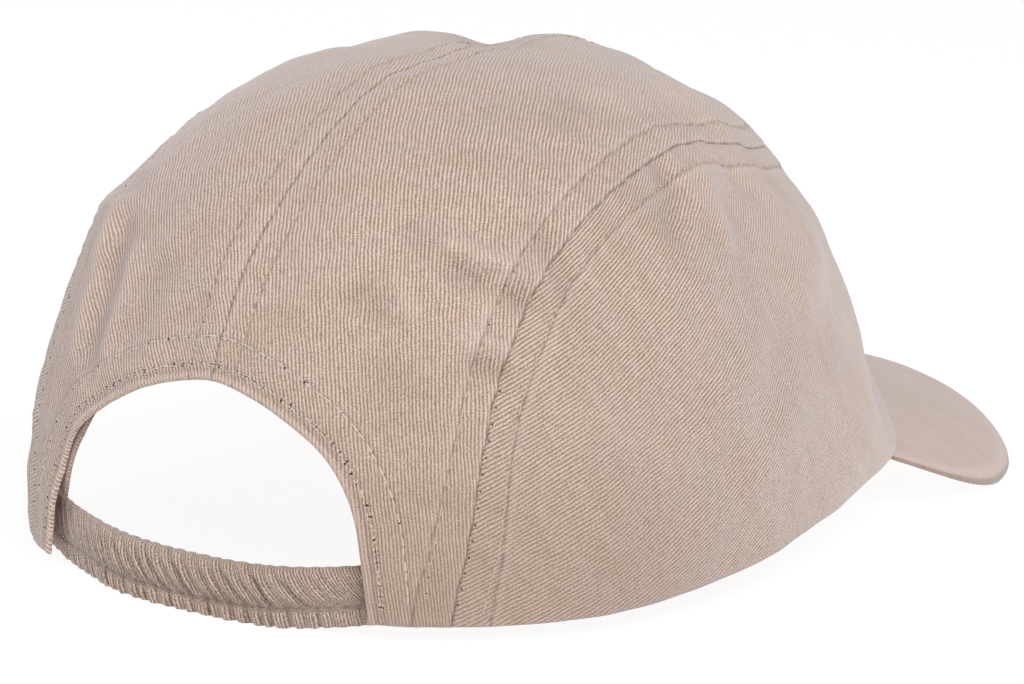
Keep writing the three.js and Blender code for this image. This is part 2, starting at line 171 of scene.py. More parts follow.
# Hem strip behind that edge: it starts and ends above the strap, and shows past the edge low down
# on the wearer's left
FACING_WIDTH = 0.08
FACING_SET_IN = 0.012
FACING_PROUD = 0.004
FACING_SHOWS = {"from": 0.72, "to": 0.80}
FACING_ENDS = {"right": 0.09, "left": 0.925, "shaded_from": 0.885}

# Relief of the seams, the hem and the rim
SEAM_WAVE = {"height": 0.0016, "pitch": 0.020, "settles": 0.02, "seed": 17}
SEAM_SINK = 0.00022
SEAM_SINK_WIDTH = 0.0030
CREASE = {"depth": 0.00018, "width": 0.00022}
ALLOWANCE = {"lift": 0.00016, "past_row": (0.0004, 0.0020)}
LAP = {"lift": 0.00016, "width": 0.0045}
ROW_GROOVE = {"depth": 0.00014, "width": 0.0005}
PUCKER = {"height": 0.00020, "spread": 0.0030, "pitch": 0.0050}
HEM = {"lift": 0.00045, "past_row": (0.0004, 0.0022), "pucker": 0.00010, "pucker_spread": 0.0022}
HEM_ROLL = {"middle": 0.0007, "width": 0.0007, "height": 0.00032, "crease": 0.0020}
RIM_CURL = {"depth": 0.0004, "width": 0.0050}
RIM_HELD = (0.6, 0.0, 0.010)
LEFT_TAUT = {"least": 0.35, "from_to": (0.0, 0.04)}

# Stitch rows: how far each lies from its seam or edge, its stitches and its needle holes
CENTRE_ROW = 0.0053
SIDE_ROW = {"rim": 0.0077, "above": 0.0055, "settles_at": 0.42}
HEM_ROW = 0.0087
EDGE_ROW = {"middle": 0.0033, "apart": 0.00035, "crosses_every": 0.017}
SEAM_ROWS = {"pitch": 0.0033, "thread": 0.00018, "hole": 0.00026}
HEM_ROWS = {"pitch": 0.0049, "thread": 0.00020, "hole": 0.00037}
EDGE_ROWS = {"pitch": 0.0023, "thread": 0.00017, "hole": 0.00034}
LAP_HOLES = {"aside": 0.0007, "pitch": 0.0033, "hole": 0.00026, "out_from": 0.72}
STITCH = {"gap": 0.0006, "arch": 0.00014, "sunk": 0.00012, "lean": 0.00009, "seed": 31}
ROW_STOPS_AT = 0.992
ROW_SAMPLES = 600

# Painted shade lines (DARK_LINE) and worn lines (WORN_LINE) beside a seam, a row or an edge:
# share, distance, width
DARK_LINE = {"seam": (1.0, 0.0, 0.00028), "row": (1.0, 0.0002, 0.00030), "hem": (0.30, 0.0, 0.0004)}
WORN_LINE = {
    "row": (0.5, 0.0012, 0.0009),
    "lap": (0.6, 0.0007, 0.0004),
    "centre": (0.4, 0.0012, 0.0007),
    "rim": (0.7, 0.0, 0.0010),
}

# What varies along a line: its mean, and its swing and pitch, kept between a least and a most
UNEVEN_PARTS = ((1.0, 0.5), (1.37, 0.3), (0.61, 0.35))
SEAM_SHOWN = {"mean": 0.75, "swing": 0.7, "pitch": 0.0062, "least": 0.3, "most": 1.0}
ROW_SHOWN = {"mean": 0.60, "swing": 0.5, "pitch": 0.0041, "least": 0.15, "most": 1.0}
RIB_SIZE = {"mean": 0.90, "swing": 0.40, "pitch": 0.061, "least": 0.45, "most": 1.35}
RUFFLE_SIZE = {"mean": 0.75, "swing": 0.45, "pitch": 0.047, "least": 0.2, "most": 1.3}

# Peak
PEAK_HALF_TURN = 49
PEAK_TIP_REACH = 0.163
PEAK_CORNER_SLANT = 31
PEAK_CORNER_PULL = 0.0485
PEAK_TIP_PULL = 0.0455
PEAK_ROOT_RISE = 0.0030
PEAK_SLOPE = 0.33
PEAK_BEND_RADIUS = 0.136
PEAK_ROOT_BLEND = 0.030
PEAK_GAP = 0.00045
PEAK_EDGE = {"root": 0.0010, "full_at": 0.30, "width": 0.009, "shoulder": 0.0040, "band": 0.0003}
PEAK_TUCK = {"share": 0.04, "in": 0.0040, "up": 0.0009}
# Soft waves of its cloth: size, shares of x and y that they run along, pitch, seed
PEAK_WAVES = ((0.00006, 1.0, 0.4, 0.019, 21), (0.00005, -0.3, 1.0, 0.023, 22))
PEAK_WORN = (0.6, 0.0026, 0.0014)
# A thin line of painted shade along the peak's edge: share, distance, width
PEAK_EDGE_SHADE = (0.9, 0.0, 0.0005)
PEAK_WEAVE_ANGLE = -20.0

# Gathered back strap
STRAP_TURNS = {"right": 26.0, "left": 29.5}
STRAP_TUCK = {"from": 9, "to": 20, "depth": 0.0021}
STRAP_TOP = {"right": 0.0132, "middle": 0.0099, "left": 0.0108}
STRAP_BOTTOM = {"right": 0.0009, "middle": -0.0028, "left": -0.0020}
STRAP_SEWN = {"height": 0.36, "width": 0.05, "depth": 0.25, "step": 0.04, "dark_width": 0.012}
STRAP_THICKNESS = {"middle": 0.0044, "end": 0.0026}
STRAP_LENGTH = 0.090
STRAP_GIRTH = 0.0045
STRAP_GRID = {"sections": 620, "corners": 44}
RIBS = {"count": 32, "lean": 11.0, "depth": 0.00047, "edge": 0.00010}
RUFFLES = {"count": 33, "lean": 2.6, "depth": 0.00060, "edge": 0.00030}
RIB_AT_TOP = {"size": 0.55, "from": 0.70}
RIB_WANDER = {"size": 0.25, "pitch": 0.5}
STRAP_WANDER = {"size": 0.5, "pitch": 0.10, "in_ruffles": 1.4}
STRAP_FULL_AT_ENDS = 0.45
# Painted shade of the strap: towards its right end, in its folds and along its sewn line
STRAP_SHADE = {"to_right": 0.28, "folds": 0.48, "sewn": 0.4}
VALLEY_POWER = 1.3

# Grids of the panels and the peak: for each side its count and how closely its ends are crowded
FRONT_GRID = ((430, 0.8, 0.8), (108, 0.6, 0.8))
BACK_GRID = ((216, 0.72, 0.3), (212, 0.72, 0.72))
PEAK_GRID = ((300, 0.5, 0.5), (120, 0.2, 0.85))
FACING_GRID = {"along": 301, "across": (22, 0.6, 0.6)}

# Rest: the cap tips back until its peak and its strap both touch the surface
REST_TIP = math.radians(4.75)
REST_LIFT = 0.01035
REST_SHIFT = 0.0303

# Camera, in the crown's level frame, and the direction that it looks from
CAMERA_TURN = math.radians(212.985)
CAMERA_RISE = math.radians(17.228)
CAMERA_DISTANCE = 1.100
CAMERA_ASIDE = 0.0072036
CAMERA_ABOVE = 0.026188
CAMERA_LENS = 181.66
SENSOR_WIDTH = 36.0

# Twill: ridges run straight over each piece as it was cut, at an angle in degrees to the level
# line through the middle of the piece
RIDGE_PITCH = 0.00080
RIDGE_BEAD = 0.00058
STRAP_RIDGE_PITCH = 0.00060
LEFT_WEAVE = {"turn": 160, "out": 0.3, "angle": -50.0}
RIGHT_WEAVE = {"turn": -170, "out": 0.4, "angle": -16.0}
FRONT_WEAVE = {"level_out": 0.85, "angle": -64.0}
CLOTH_RADIUS = 0.090

# Noises of the twill: how fine across and along the ridges, detail, roughness
TWILL_NOISE = {
    "wander": (110.0, 110.0, 2.0, 0.5),
    "shiver": (700.0, 260.0, 2.0, 0.5),
    "fibre": (3600.0, 3000.0, 1.0, 0.6),
    "speck": (2300.0, 1200.0, 2.0, 0.6),
    "blotch": (900.0, 420.0, 2.0, 0.6),
    "fade": (38.0, 120.0, 3.0, 0.55),
}

# Nap and painted light: the nap lies flat, and a painted lilac sheen comes in, away from a bearing at
# the back on the wearer's right. Painted shade darkens the band above the rim towards that bearing,
# and the folds get painted shade in their valleys and painted highlights on their ridges
NAP = {"bearing": -147.0, "crisp_to": 0.060, "flat_from": -0.035, "most": 0.78}
RIM_SHADE_BAND = {"rise": 0.38, "from_to": (0.050, 0.090)}
FOLD_SHADE = {"valley": 0.20, "ridge": 0.50, "full_at": 0.0013}
PEAK_FLAT = 0.85
FACING_FLAT = 0.3

# Colours, lights and floor
CREST = (0.690, 0.555, 0.470, 1.0)
GROOVE = (0.270, 0.185, 0.135, 1.0)
LIT_PLACE = (0.0, 0.0, 0.05)
KEY_LIGHT = {"position": (-1.13, 0.82, 1.3), "size": 1.0, "power": 24.5}
FILL_LIGHT = {"position": (0.9, 1.0, 1.0), "size": 1.2, "power": 6.5}
SURROUNDINGS = 0.42
FLOOR = {"half": 4.0, "grey": 0.12, "own_light": 0.91}


def hump(value, middle, spread):
    """A bell: exp(-((value - middle) / spread)^2)."""
    return np.exp(-(((value - middle) / spread) ** 2))


def ramp(value, start, end):
    """A smooth step from 0 at start to 1 at end: 3t^2 - 2t^3."""
    t = np.clip((value - start) / (end - start), 0.0, 1.0)
    return t * t * (3.0 - 2.0 * t)


def mix(a, b, share):
    """The straight line from a to b."""
    return a + (b - a) * share


def unit(vectors):
    """Each vector divided by its length."""
    return vectors / (np.linalg.norm(vectors, axis=-1, keepdims=True) + 1e-12)


def crowd(count, first, last):
    """Shares from 0 to 1 that lie closer together at the ends: their steps follow
    1 - first (1 + cos 2 pi t) / 2 in the first half, and last in its place in the second."""
    t = (np.arange(count) + 0.5) / count
    near = (1.0 + np.cos(2.0 * np.pi * t)) / 2.0
    steps = 1.0 - np.where(t < 0.5, first, last) * near
    return np.concatenate([[0.0], np.cumsum(steps)]) / steps.sum()


def spline(points, share):
    """A uniform Catmull-Rom curve through points, which run along the first axis."""
    last = len(points) - 1
    position = np.clip(np.asarray(share, float), 0.0, 1.0) * last
    left = np.minimum(position.astype(int), last - 1)
    t = (position - left).reshape((-1,) + (1,) * (points.ndim - 1))
    before = points[np.maximum(left - 1, 0)]
    start, end = points[left], points[left + 1]
    after = points[np.minimum(left + 2, last)]
    leave, arrive = (end - before) / 2.0, (after - start) / 2.0
    cubic = 2.0 * (start - end) + leave + arrive
    square = 3.0 * (end - start) - 2.0 * leave - arrive
    return ((cubic * t + square) * t + leave) * t + start


def on_map(turn, out):
    """The map place (out sin turn, -out cos turn), with the turn in degrees."""
    turn, out = np.broadcast_arrays(np.radians(turn), out)
    return np.stack([out * np.sin(turn), -out * np.cos(turn)], axis=-1)


def turn_of(place):
    """The turn of a map place from the front, in degrees."""
    return math.degrees(math.atan2(place[0], -place[1]))


def whole_line(right_rows, left_rows):
    """The map places of a line from the wearer's right foot to the left one, through two half
    tables."""
    right, left = (np.array([on_map(*row) for row in rows]) for rows in (right_rows, left_rows))
    return np.concatenate([right[:-1] * [-1.0, 1.0], left[::-1]])


def tipped(points):
    """Points of the level frame, turned about X by the rest angle and lifted onto the surface."""
    x, y, z = np.moveaxis(points, -1, 0)
    backward = y * math.cos(REST_TIP) + z * math.sin(REST_TIP) + REST_SHIFT
    upward = z * math.cos(REST_TIP) - y * math.sin(REST_TIP) + REST_LIFT
    return np.stack([x, backward, upward], axis=-1)


def rest(points):
    """Tipped points of cloth, which stops at z = 0."""
    return np.maximum(tipped(points), [-np.inf, -np.inf, 0.0])


def bells(rows, turn, rise):
    """A sum of bells over the turn and the rise, from rows of turn, spread, rise, spread and
    height, with turns in degrees."""
    total = np.zeros(turn.shape)
    for middle, spread, level, level_spread, height in rows:
        around = hump(turn, np.radians(middle), np.radians(spread))
        total = total + height * around * hump(rise, level, level_spread)
    return total


def smooth_crown(places):
    """A dome over the map. Its plan is a superellipse, and its wall runs (sin, cos) of a quarter
    turn, each to the power 2 / squareness. Returns the turn, the rise and the point."""
    x, y = places[..., 0], places[..., 1]
    out = np.minimum(np.hypot(x, y), 1.0)
    turn = np.arctan2(x, -y)
    across, ahead = np.sin(turn), np.cos(turn)
    reach = np.where(ahead > 0.0, FRONT_REACH, BACK_REACH)
    n = PLAN_SQUARENESS
    plan = (np.abs(across / HALF_WIDTH) ** n + np.abs(ahead / reach) ** n) ** (-1.0 / n)
    plan = plan * (1.0 + PLAN_TAPER * (np.cos(3.0 * turn) - ahead))
    fall = out * np.pi / 2.0
    level = np.maximum(np.cos(fall), 0.0)
    squareness = TOP_SQUARENESS["mean"] + TOP_SQUARENESS["ahead"] * ahead
    squareness = squareness + TOP_SQUARENESS["twice"] * np.cos(2.0 * turn)
    rise = level ** (2.0 / squareness)
    swell = 1.0 + (BULGE["mean"] + BULGE["ahead"] * ahead) * np.sin(2.0 * fall) ** 2
    swell = swell + bells(SWELLINGS, np.abs(turn), rise)
    spread = np.sin(fall) ** (2.0 / WALL_SQUARENESS) * swell
    wave = RIM_WAVE["twice"] * np.cos(2.0 * turn) + RIM_WAVE["four_times"] * np.cos(4.0 * turn)
    for middle, width, lift in RIM_HITCHES:
        wave = wave + lift * hump(turn, np.radians(middle), np.radians(width))
    height = HEIGHT * rise * (1.0 + TOP_TIP * y) + wave * (1.0 - level) ** 2
    point = [plan * across * spread, -plan * ahead * spread + TOP_SHIFT * (1.0 - spread), height]
    return turn, rise, np.stack(point, axis=-1)


def outward(places):
    """Unit vectors square to the smooth crown, from steps to both sides on the map."""
    step = 0.002

    def at(dx, dy):
        return smooth_crown(places + np.array([dx, dy]))[2]

    return unit(np.cross(at(step, 0.0) - at(-step, 0.0), at(0.0, step) - at(0.0, -step)))


def soft_crown(places):
    """The smooth crown moved outward by its broad dents. Returns the rise and the point."""
    turn, rise, point = smooth_crown(places)
    away = unit(np.maximum(point, [-np.inf, -np.inf, 0.0]) * DENT_AWAY)
    return rise, point + away * bells(DENTS, turn, rise)[..., None]


def run_along(line):
    """How far along a polyline each of its points lies."""
    return np.concatenate([[0.0], np.cumsum(np.linalg.norm(np.diff(line, axis=0), axis=1))])


def to_right(along):
    """Flat vectors turned a quarter turn to the right."""
    return np.stack([along[..., 1], -along[..., 0]], axis=-1)


def nearest(line, points):
    """The distance from each point to a polyline, and how far along the line its nearest place
    is. The nearest corner comes first, then the closer of the two segments that meet there."""
    flat = points.reshape(-1, 3)
    squares = (flat**2).sum(1)[:, None] + (line**2).sum(1) - 2.0 * flat @ line.T
    corner = squares.argmin(1)
    run = run_along(line)
    gaps, runs = [], []
    for side in (-1, 0):
        first = np.clip(corner + side, 0, len(line) - 2)
        step = line[first + 1] - line[first]
        share = ((flat - line[first]) * step).sum(1) / (step**2).sum(1)
        share = np.clip(share, 0.0, 1.0)
        gaps.append(np.linalg.norm(flat - line[first] - share[:, None] * step, axis=1))
        runs.append(mix(run[first], run[first + 1], share))
    closer = gaps[0] < gaps[1]
    gap, along = np.where(closer, gaps[0], gaps[1]), np.where(closer, runs[0], runs[1])
    return gap.reshape(points.shape[:-1]), along.reshape(points.shape[:-1])


SIDE_PLACES = whole_line(SIDE_SEAM, SIDE_SEAM)
ARCH_PLACES = whole_line(ARCH_EDGE_RIGHT, ARCH_EDGE_LEFT)
SEAM_CORNER = SEAM_CORNER_ROW / (len(SIDE_PLACES) - 1)
EVEN = np.linspace(0.0, 1.0, SEAM_SAMPLES)


def uneven(run, pitch, seed):
    """An irregular wave along a line: sines at three close pitches, with random starts."""
    starts = np.random.default_rng(seed).uniform(0.0, 2.0 * np.pi, 3)
    return sum(
        share * np.sin(2.0 * np.pi * run / (pitch * stretch) + start)
        for (stretch, share), start in zip(UNEVEN_PARTS, starts)
    )


def varied(rule, run, seed):
    """An uneven wave round a mean, kept between a least and a most."""
    wave = rule["mean"] + rule["swing"] * uneven(run, rule["pitch"], seed)
    return np.clip(wave, rule["least"], rule["most"])


def band(gap, share, distance, width):
    """A soft line at a distance beside another, as strong as its share."""
    return share * hump(gap, distance, width)


def along_side(share):
    """The side seam on the map at each share of its length, with the small waves of a sewn edge,
    which settle at its feet and at its middle."""
    share = np.asarray(share, float)
    step = spline(SIDE_PLACES, share + 0.001) - spline(SIDE_PLACES, share - 0.001)
    settles = SEAM_WAVE["settles"]
    held = ramp(0.5 - np.abs(share - 0.5), 0.0, settles) * (1.0 - hump(share, 0.5, settles))
    wave = SEAM_WAVE["height"] * uneven(share, SEAM_WAVE["pitch"], SEAM_WAVE["seed"]) * held
    return spline(SIDE_PLACES, share) + unit(to_right(step)) * wave[..., None]


def centre_places(share):
    """The centre seam on the map, from the arch over the top to the side seam at the front."""
    y = mix(ARCH_EDGE_LEFT[-1][1], -SIDE_SEAM[-1][1], np.asarray(share, float))
    return np.stack([np.zeros_like(y), y], axis=-1)


SIDE_LINE = soft_crown(along_side(EVEN))[1]
ARCH_LINE = soft_crown(spline(ARCH_PLACES, EVEN))[1]
CENTRE_LINE = soft_crown(centre_places(EVEN))[1]
RIM_LINE = soft_crown(on_map(mix(-180.0, 180.0, EVEN), 1.0))[1]


def side_row(rise):
    """How far the stitch rows lie from the side seam: further near the rim."""
    return mix(SIDE_ROW["rim"], SIDE_ROW["above"], ramp(rise, 0.0, SIDE_ROW["settles_at"]))


def rumple(points):
    """Small undulations of worn cloth: plane sine waves in random directions."""
    random = np.random.default_rng(CLOTH_SEED)
    lift = np.zeros(points.shape[:-1])
    for wavelength, height, waves in RUMPLES:
        for _ in range(waves):
            direction = unit(random.normal(size=3))
            start = random.uniform(0.0, 2.0 * np.pi)
            length = wavelength * random.uniform(0.8, 1.3)
            lift = lift + height * np.sin(2.0 * np.pi * (points @ direction) / length + start)
    return lift


def folds(points):
    """The soft folds: each falls off as a bell with the distance from its line."""
    lift = np.zeros(points.shape[:-1])
    for width, height, *through in FOLDS:
        places = np.array([on_map(*place) for place in through])
        line = soft_crown(spline(places, np.linspace(0.0, 1.0, FOLD_SAMPLES)))[1]
        gap, _ = nearest(line, points)
        lift = lift + height * hump(gap, 0.0, width)
    return lift


def back_right(points):
    """How far points lie towards the back on the wearer's right."""
    bearing = math.radians(NAP["bearing"])
    return points[..., 0] * math.sin(bearing) - points[..., 1] * math.cos(bearing)


def flat_nap_and_sheen(points):
    """How flat the nap lies, which also brings in a painted lilac sheen: 0 at the back on the
    wearer's right, rising towards the front and the left."""
    return np.minimum(1.0 - ramp(back_right(points), NAP["flat_from"], NAP["crisp_to"]), NAP["most"])


def rim_shade_band(points, rise):
    """How much painted shade darkens the band above the rim: most at the back on the wearer's right."""
    return hump(rise, 0.0, RIM_SHADE_BAND["rise"]) * ramp(back_right(points), *RIM_SHADE_BAND["from_to"])


def beside_seam(gap, run, row, seed):
    """The relief near a topstitched seam: a crease on the seam, a raised allowance out to the
    stitch row, a groove under the row and small puckers along it."""
    raised = ALLOWANCE["lift"] * (1.0 - ramp(gap - row, *ALLOWANCE["past_row"]))
    crease = -CREASE["depth"] * hump(gap, 0.0, CREASE["width"])
    groove = -ROW_GROOVE["depth"] * hump(gap, row, ROW_GROOVE["width"])
    pucker = PUCKER["height"] * uneven(run, PUCKER["pitch"], seed) * hump(gap, row, PUCKER["spread"])
    return raised + crease + groove + pucker


def seam_shade(gap, run, row, seed):
    """How much painted shade a topstitched seam gets: a thin line of painted shadow that comes and
    goes along the seam, and a fainter line of painted shade under its stitch row."""
    seam = varied(SEAM_SHOWN, run, seed) * band(gap, *DARK_LINE["seam"])
    return seam + varied(ROW_SHOWN, run, seed + 10) * band(gap - row, *DARK_LINE["row"])


def hem_lift(arch_gap):
    """How far the doubled hem stands out, from the arch edge to its outer row."""
    return HEM["lift"] * (1.0 - ramp(arch_gap - HEM_ROW, *HEM["past_row"]))


def cloth(places, panel):
    """The finished outer face of a crown panel: the soft crown with its folds, rumples and seams.
    Returns the points, the outward vectors, the marks of the cloth and the gap to a free edge."""
    rise, base = soft_crown(places)
    away = outward(places)
    side_gap, side_run = nearest(SIDE_LINE, base)
    rim_gap, _ = nearest(RIM_LINE, base)
    firm = np.minimum(1.0, 3.0 * rise)
    row = side_row(rise)
    held = 1.0 - band(rim_gap, *RIM_HELD)
    relief = folds(base)
    lift = relief + rumple(base) * held - SEAM_SINK * firm * hump(side_gap, 0.0, SEAM_SINK_WIDTH)
    taut = mix(1.0, LEFT_TAUT["least"], ramp(base[..., 0], *LEFT_TAUT["from_to"]))
    lift = lift + beside_seam(side_gap, side_run, row, 3) * taut
    # Painted shade: a painted shadow line along the seam and painted shade in the fold valleys
    painted_shade = seam_shade(side_gap, side_run, row, 13) * taut
    painted_shade = painted_shade + FOLD_SHADE["valley"] * ramp(-relief, 0.0, FOLD_SHADE["full_at"])
    # Wear beside the row and along the rim, and a painted highlight on the fold ridges
    wear_and_highlight = band(side_gap - row, *WORN_LINE["row"]) + band(rim_gap, *WORN_LINE["rim"])
    wear_and_highlight = wear_and_highlight + FOLD_SHADE["ridge"] * ramp(relief, 0.0, FOLD_SHADE["full_at"])
    edge_gap = rim_gap
    if panel == "back":
        centre_gap, centre_run = nearest(CENTRE_LINE, base)
        arch_gap, arch_run = nearest(ARCH_LINE, base)
        roll = hump(arch_gap, HEM_ROLL["middle"], HEM_ROLL["width"])
        lift = lift + LAP["lift"] * taut * (1.0 - ramp(side_gap, 0.0, LAP["width"]))
        lift = lift - SEAM_SINK * hump(centre_gap, 0.0, SEAM_SINK_WIDTH)
        lift = lift + beside_seam(centre_gap, centre_run, CENTRE_ROW, 5)
        lift = lift + hem_lift(arch_gap) + HEM_ROLL["height"] * roll
        # Each hem row and the roll's crease gets a groove and a line of painted shade
        for line, seed in ((HEM_ROW, 7), (EDGE_ROW["middle"], 8), (HEM_ROLL["crease"], 9)):
            lift = lift - ROW_GROOVE["depth"] * hump(arch_gap, line, ROW_GROOVE["width"])
            wave = uneven(arch_run, PUCKER["pitch"], seed) * hump(arch_gap, line, HEM["pucker_spread"])
            lift = lift + HEM["pucker"] * wave
            painted_shade = painted_shade + band(arch_gap - line, *DARK_LINE["hem"])
        painted_shade = painted_shade + seam_shade(centre_gap, centre_run, CENTRE_ROW, 14)
        wear_and_highlight = wear_and_highlight + band(side_gap, *WORN_LINE["lap"]) + band(centre_gap, *WORN_LINE["centre"]) + roll
        edge_gap = np.minimum(rim_gap, arch_gap)
    lift = lift - RIM_CURL["depth"] * hump(rim_gap, 0.0, RIM_CURL["width"])
    marks = {"wear_and_highlight": wear_and_highlight, "painted_shade": painted_shade, "flat": flat_nap_and_sheen(base), "painted_rim_shade": rim_shade_band(base, rise)}
    marks = {name: np.clip(values, 0.0, 1.0) for name, values in marks.items()}
    return base + away * lift[..., None], away, marks, edge_gap


def round_edge(gap, half):
    """How far a face draws back towards the middle of the wall near a free edge: a quarter
    circle of radius half, half (1 - sqrt(1 - (1 - gap / half)^2))."""
    t = np.clip(1.0 - gap / half, 0.0, 1.0)
    return half * (1.0 - np.sqrt(1.0 - t * t))


def turned(flat, angle):
    """Flat places turned by an angle in degrees, so that the first coordinate runs square to the
    ridges and the second along them."""
    c, d = math.cos(math.radians(angle)), math.sin(math.radians(angle))
    return np.stack([flat[..., 0] * c + flat[..., 1] * d, flat[..., 1] * c - flat[..., 0] * d], -1)


def dome_weave(places, weave):
    """Lays a dome-like piece flat round a middle place: each point keeps its bearing there and
    its distance over the cloth, chord (1 + chord^2 / (24 R^2))."""
    middle = on_map(weave["turn"], weave["out"])
    away = outward(middle)
    level = unit(np.cross(away, [0.0, 0.0, 1.0]))
    climb = np.cross(level, away)
    chord = smooth_crown(places)[2] - smooth_crown(middle)[2]
    flat = np.stack([chord @ level, chord @ climb], axis=-1)
    square = (chord**2).sum(-1)
    over = np.sqrt(square) * (1.0 + square / (24.0 * CLOTH_RADIUS**2))
    reach = np.linalg.norm(flat, axis=-1) + 1e-9
    return turned(flat / reach[..., None] * over[..., None], weave["angle"])


def wall_weave(places, weave):
    """Lays the wrap-around piece flat: first the distance round the wall from its front, and
    second the distance up the wall from the rim."""
    turns = np.linspace(-180.0, 180.0, 721)
    line = smooth_crown(on_map(turns, weave["level_out"]))[2]
    run = run_along(line)
    turn = np.degrees(np.arctan2(places[..., 0], -places[..., 1]))
    out = np.hypot(places[..., 0], places[..., 1])
    steps = [smooth_crown(on_map(turn, mix(1.0, out, k)))[2] for k in np.linspace(0.0, 1.0, 25)]
    climb = sum(np.linalg.norm(b - a, axis=-1) for a, b in zip(steps, steps[1:]))
    return turned(np.stack([np.interp(turn, turns, run - run[360]), climb], axis=-1), weave["angle"])


def put_mesh(name, points, quads, weave=None, marks=None):
    """Makes an object from points and quads. weave is its UV map of metres, and marks are
    numbers from 0 to 1 at its points."""
    mesh = bpy.data.meshes.new(name)
    mesh.from_pydata(points, [], quads)
    if weave is not None:
        corners = np.empty(len(mesh.loops), dtype=np.int32)
        mesh.loops.foreach_get("vertex_index", corners)
        layer = mesh.uv_layers.new(name="weave")
        layer.data.foreach_set("uv", weave[corners].astype(np.float32).ravel())
    for mark, values in (marks or {}).items():
        attribute = mesh.attributes.new(mark, "FLOAT", "POINT")
        attribute.data.foreach_set("value", values.astype(np.float32).ravel())
    mesh.polygons.foreach_set("use_smooth", np.full(len(mesh.polygons), True))
    mesh.update()
    piece = bpy.data.objects.new(name, mesh)
    bpy.context.scene.collection.objects.link(piece)
    return piece


def grid_quads(columns, rows, start=0):
    """The quads of a grid of points, counted along its second axis first."""
    index = start + np.arange(columns * rows).reshape(columns, rows)
    quads = [index[:-1, :-1], index[1:, :-1], index[1:, 1:], index[:-1, 1:]]
    return np.stack(quads, axis=-1).reshape(-1, 4)


def crowded(sides):
    """The shares of a grid along its two axes, each crowded towards its ends by its own rule."""
    return np.meshgrid(*(crowd(*side) for side in sides), indexing="ij")


def border(columns, rows):
    """The points round the edge of a grid, in order."""
    index = np.arange(columns * rows).reshape(columns, rows)
    parts = [index[:-1, 0], index[-1, :-1], index[:0:-1, -1], index[0, :0:-1]]
    return np.concatenate(parts)


def sheet(name, outer, inner, weave, marks=None):
    """A closed sheet: two grids of points and a band that joins them round their edge."""
    columns, rows = outer.shape[:2]
    size = columns * rows
    points = np.concatenate([outer.reshape(-1, 3), inner.reshape(-1, 3)])
    front = grid_quads(columns, rows)
    back = grid_quads(columns, rows, size)[:, ::-1]
    edge = border(columns, rows)
    after = np.roll(edge, -1)
    joining = np.stack([after, edge, edge + size, after + size], axis=-1)
    quads = np.concatenate([front, back, joining])
    a, b, c = (points[front[:, k]] for k in range(3))
    normals = np.cross(b - a, c - a)
    through = (outer - inner).reshape(-1, 3)[front[:, 0]]
    if (normals * through).sum() < 0.0:
        quads = quads[:, ::-1]
    both = np.concatenate([weave.reshape(-1, 2)] * 2)
    doubled = {mark: np.concatenate([v.ravel(), v.ravel()]) for mark, v in (marks or {}).items()}
    return put_mesh(name, points, quads, both, doubled)


def patch(bottom, top, left, right):
    """A Coons patch of the map between four lines that meet at its corners."""

    def places(s, w):
        s1, w1 = s[..., None], w[..., None]
        shape = s.shape + (2,)
        zero, one = np.zeros(1), np.ones(1)
        ruled = bottom(s.ravel()).reshape(shape) * (1 - w1) + top(s.ravel()).reshape(shape) * w1
        ruled = ruled + left(w.ravel()).reshape(shape) * (1 - s1) + right(w.ravel()).reshape(shape) * s1
        corners = bottom(zero) * (1 - s1) * (1 - w1) + bottom(one) * s1 * (1 - w1)
        return ruled - corners - top(zero) * (1 - s1) * w1 - top(one) * s1 * w1

    return places


def crown_panel(name, spots, panel, weave):
    """A crown panel of one wall, with rounded free edges and its weave laid over its pattern."""
    points, away, marks, edge_gap = cloth(spots, panel)
    half = WALL / 2.0
    drawn = round_edge(edge_gap, half)[..., None]
    outer = rest(points - away * drawn)
    inner = rest(points - away * (WALL - drawn))
    return sheet(name, outer, inner, weave, marks)


def front_panel():
    """The wrap-around panel, from its back seam on one side round the front to the other."""
    foot_turn = turn_of(along_side(np.ones(1))[0])
    places = patch(
        lambda s: on_map(mix(-foot_turn, foot_turn, s), np.ones_like(s)),
        lambda s: along_side(mix(SEAM_CORNER, 1.0 - SEAM_CORNER, s)),
        lambda w: along_side(mix(0.0, SEAM_CORNER, w)),
        lambda w: along_side(mix(1.0, 1.0 - SEAM_CORNER, w)),
    )
    spots = places(*crowded(FRONT_GRID))
    return crown_panel("front_panel_cloth", spots, "front", wall_weave(spots, FRONT_WEAVE))


def back_panel(name, side, weave):
    """An upper back panel, on the wearer's left for a side of 1 and on the right for -1: the arch
    is below it, the side seam above and beside it, and the centre seam in the middle."""
    end = 1.0 if side > 0.0 else 0.0
    arch_turn = turn_of(spline(ARCH_PLACES, np.array([end]))[0])
    foot_turn = turn_of(along_side(np.array([end]))[0])
    places = patch(
        lambda s: spline(ARCH_PLACES, mix(0.5, end, s)),
        lambda s: along_side(mix(0.5, end, s)),
        centre_places,
        lambda w: on_map(mix(arch_turn, foot_turn, w), np.ones_like(w)),
    )
    spots = places(*crowded(BACK_GRID))
    return crown_panel(name, spots, "back", dome_weave(spots, weave))


def plain_marks(like, flat):
    """The marks of cloth with no wear, no painted highlight and no painted shade, with its nap lying
    flat, and its painted sheen showing, by a share."""
    marks = {name: np.zeros_like(like) for name in ("wear_and_highlight", "painted_shade", "painted_rim_shade")}
    return {**marks, "flat": np.full_like(like, flat)}


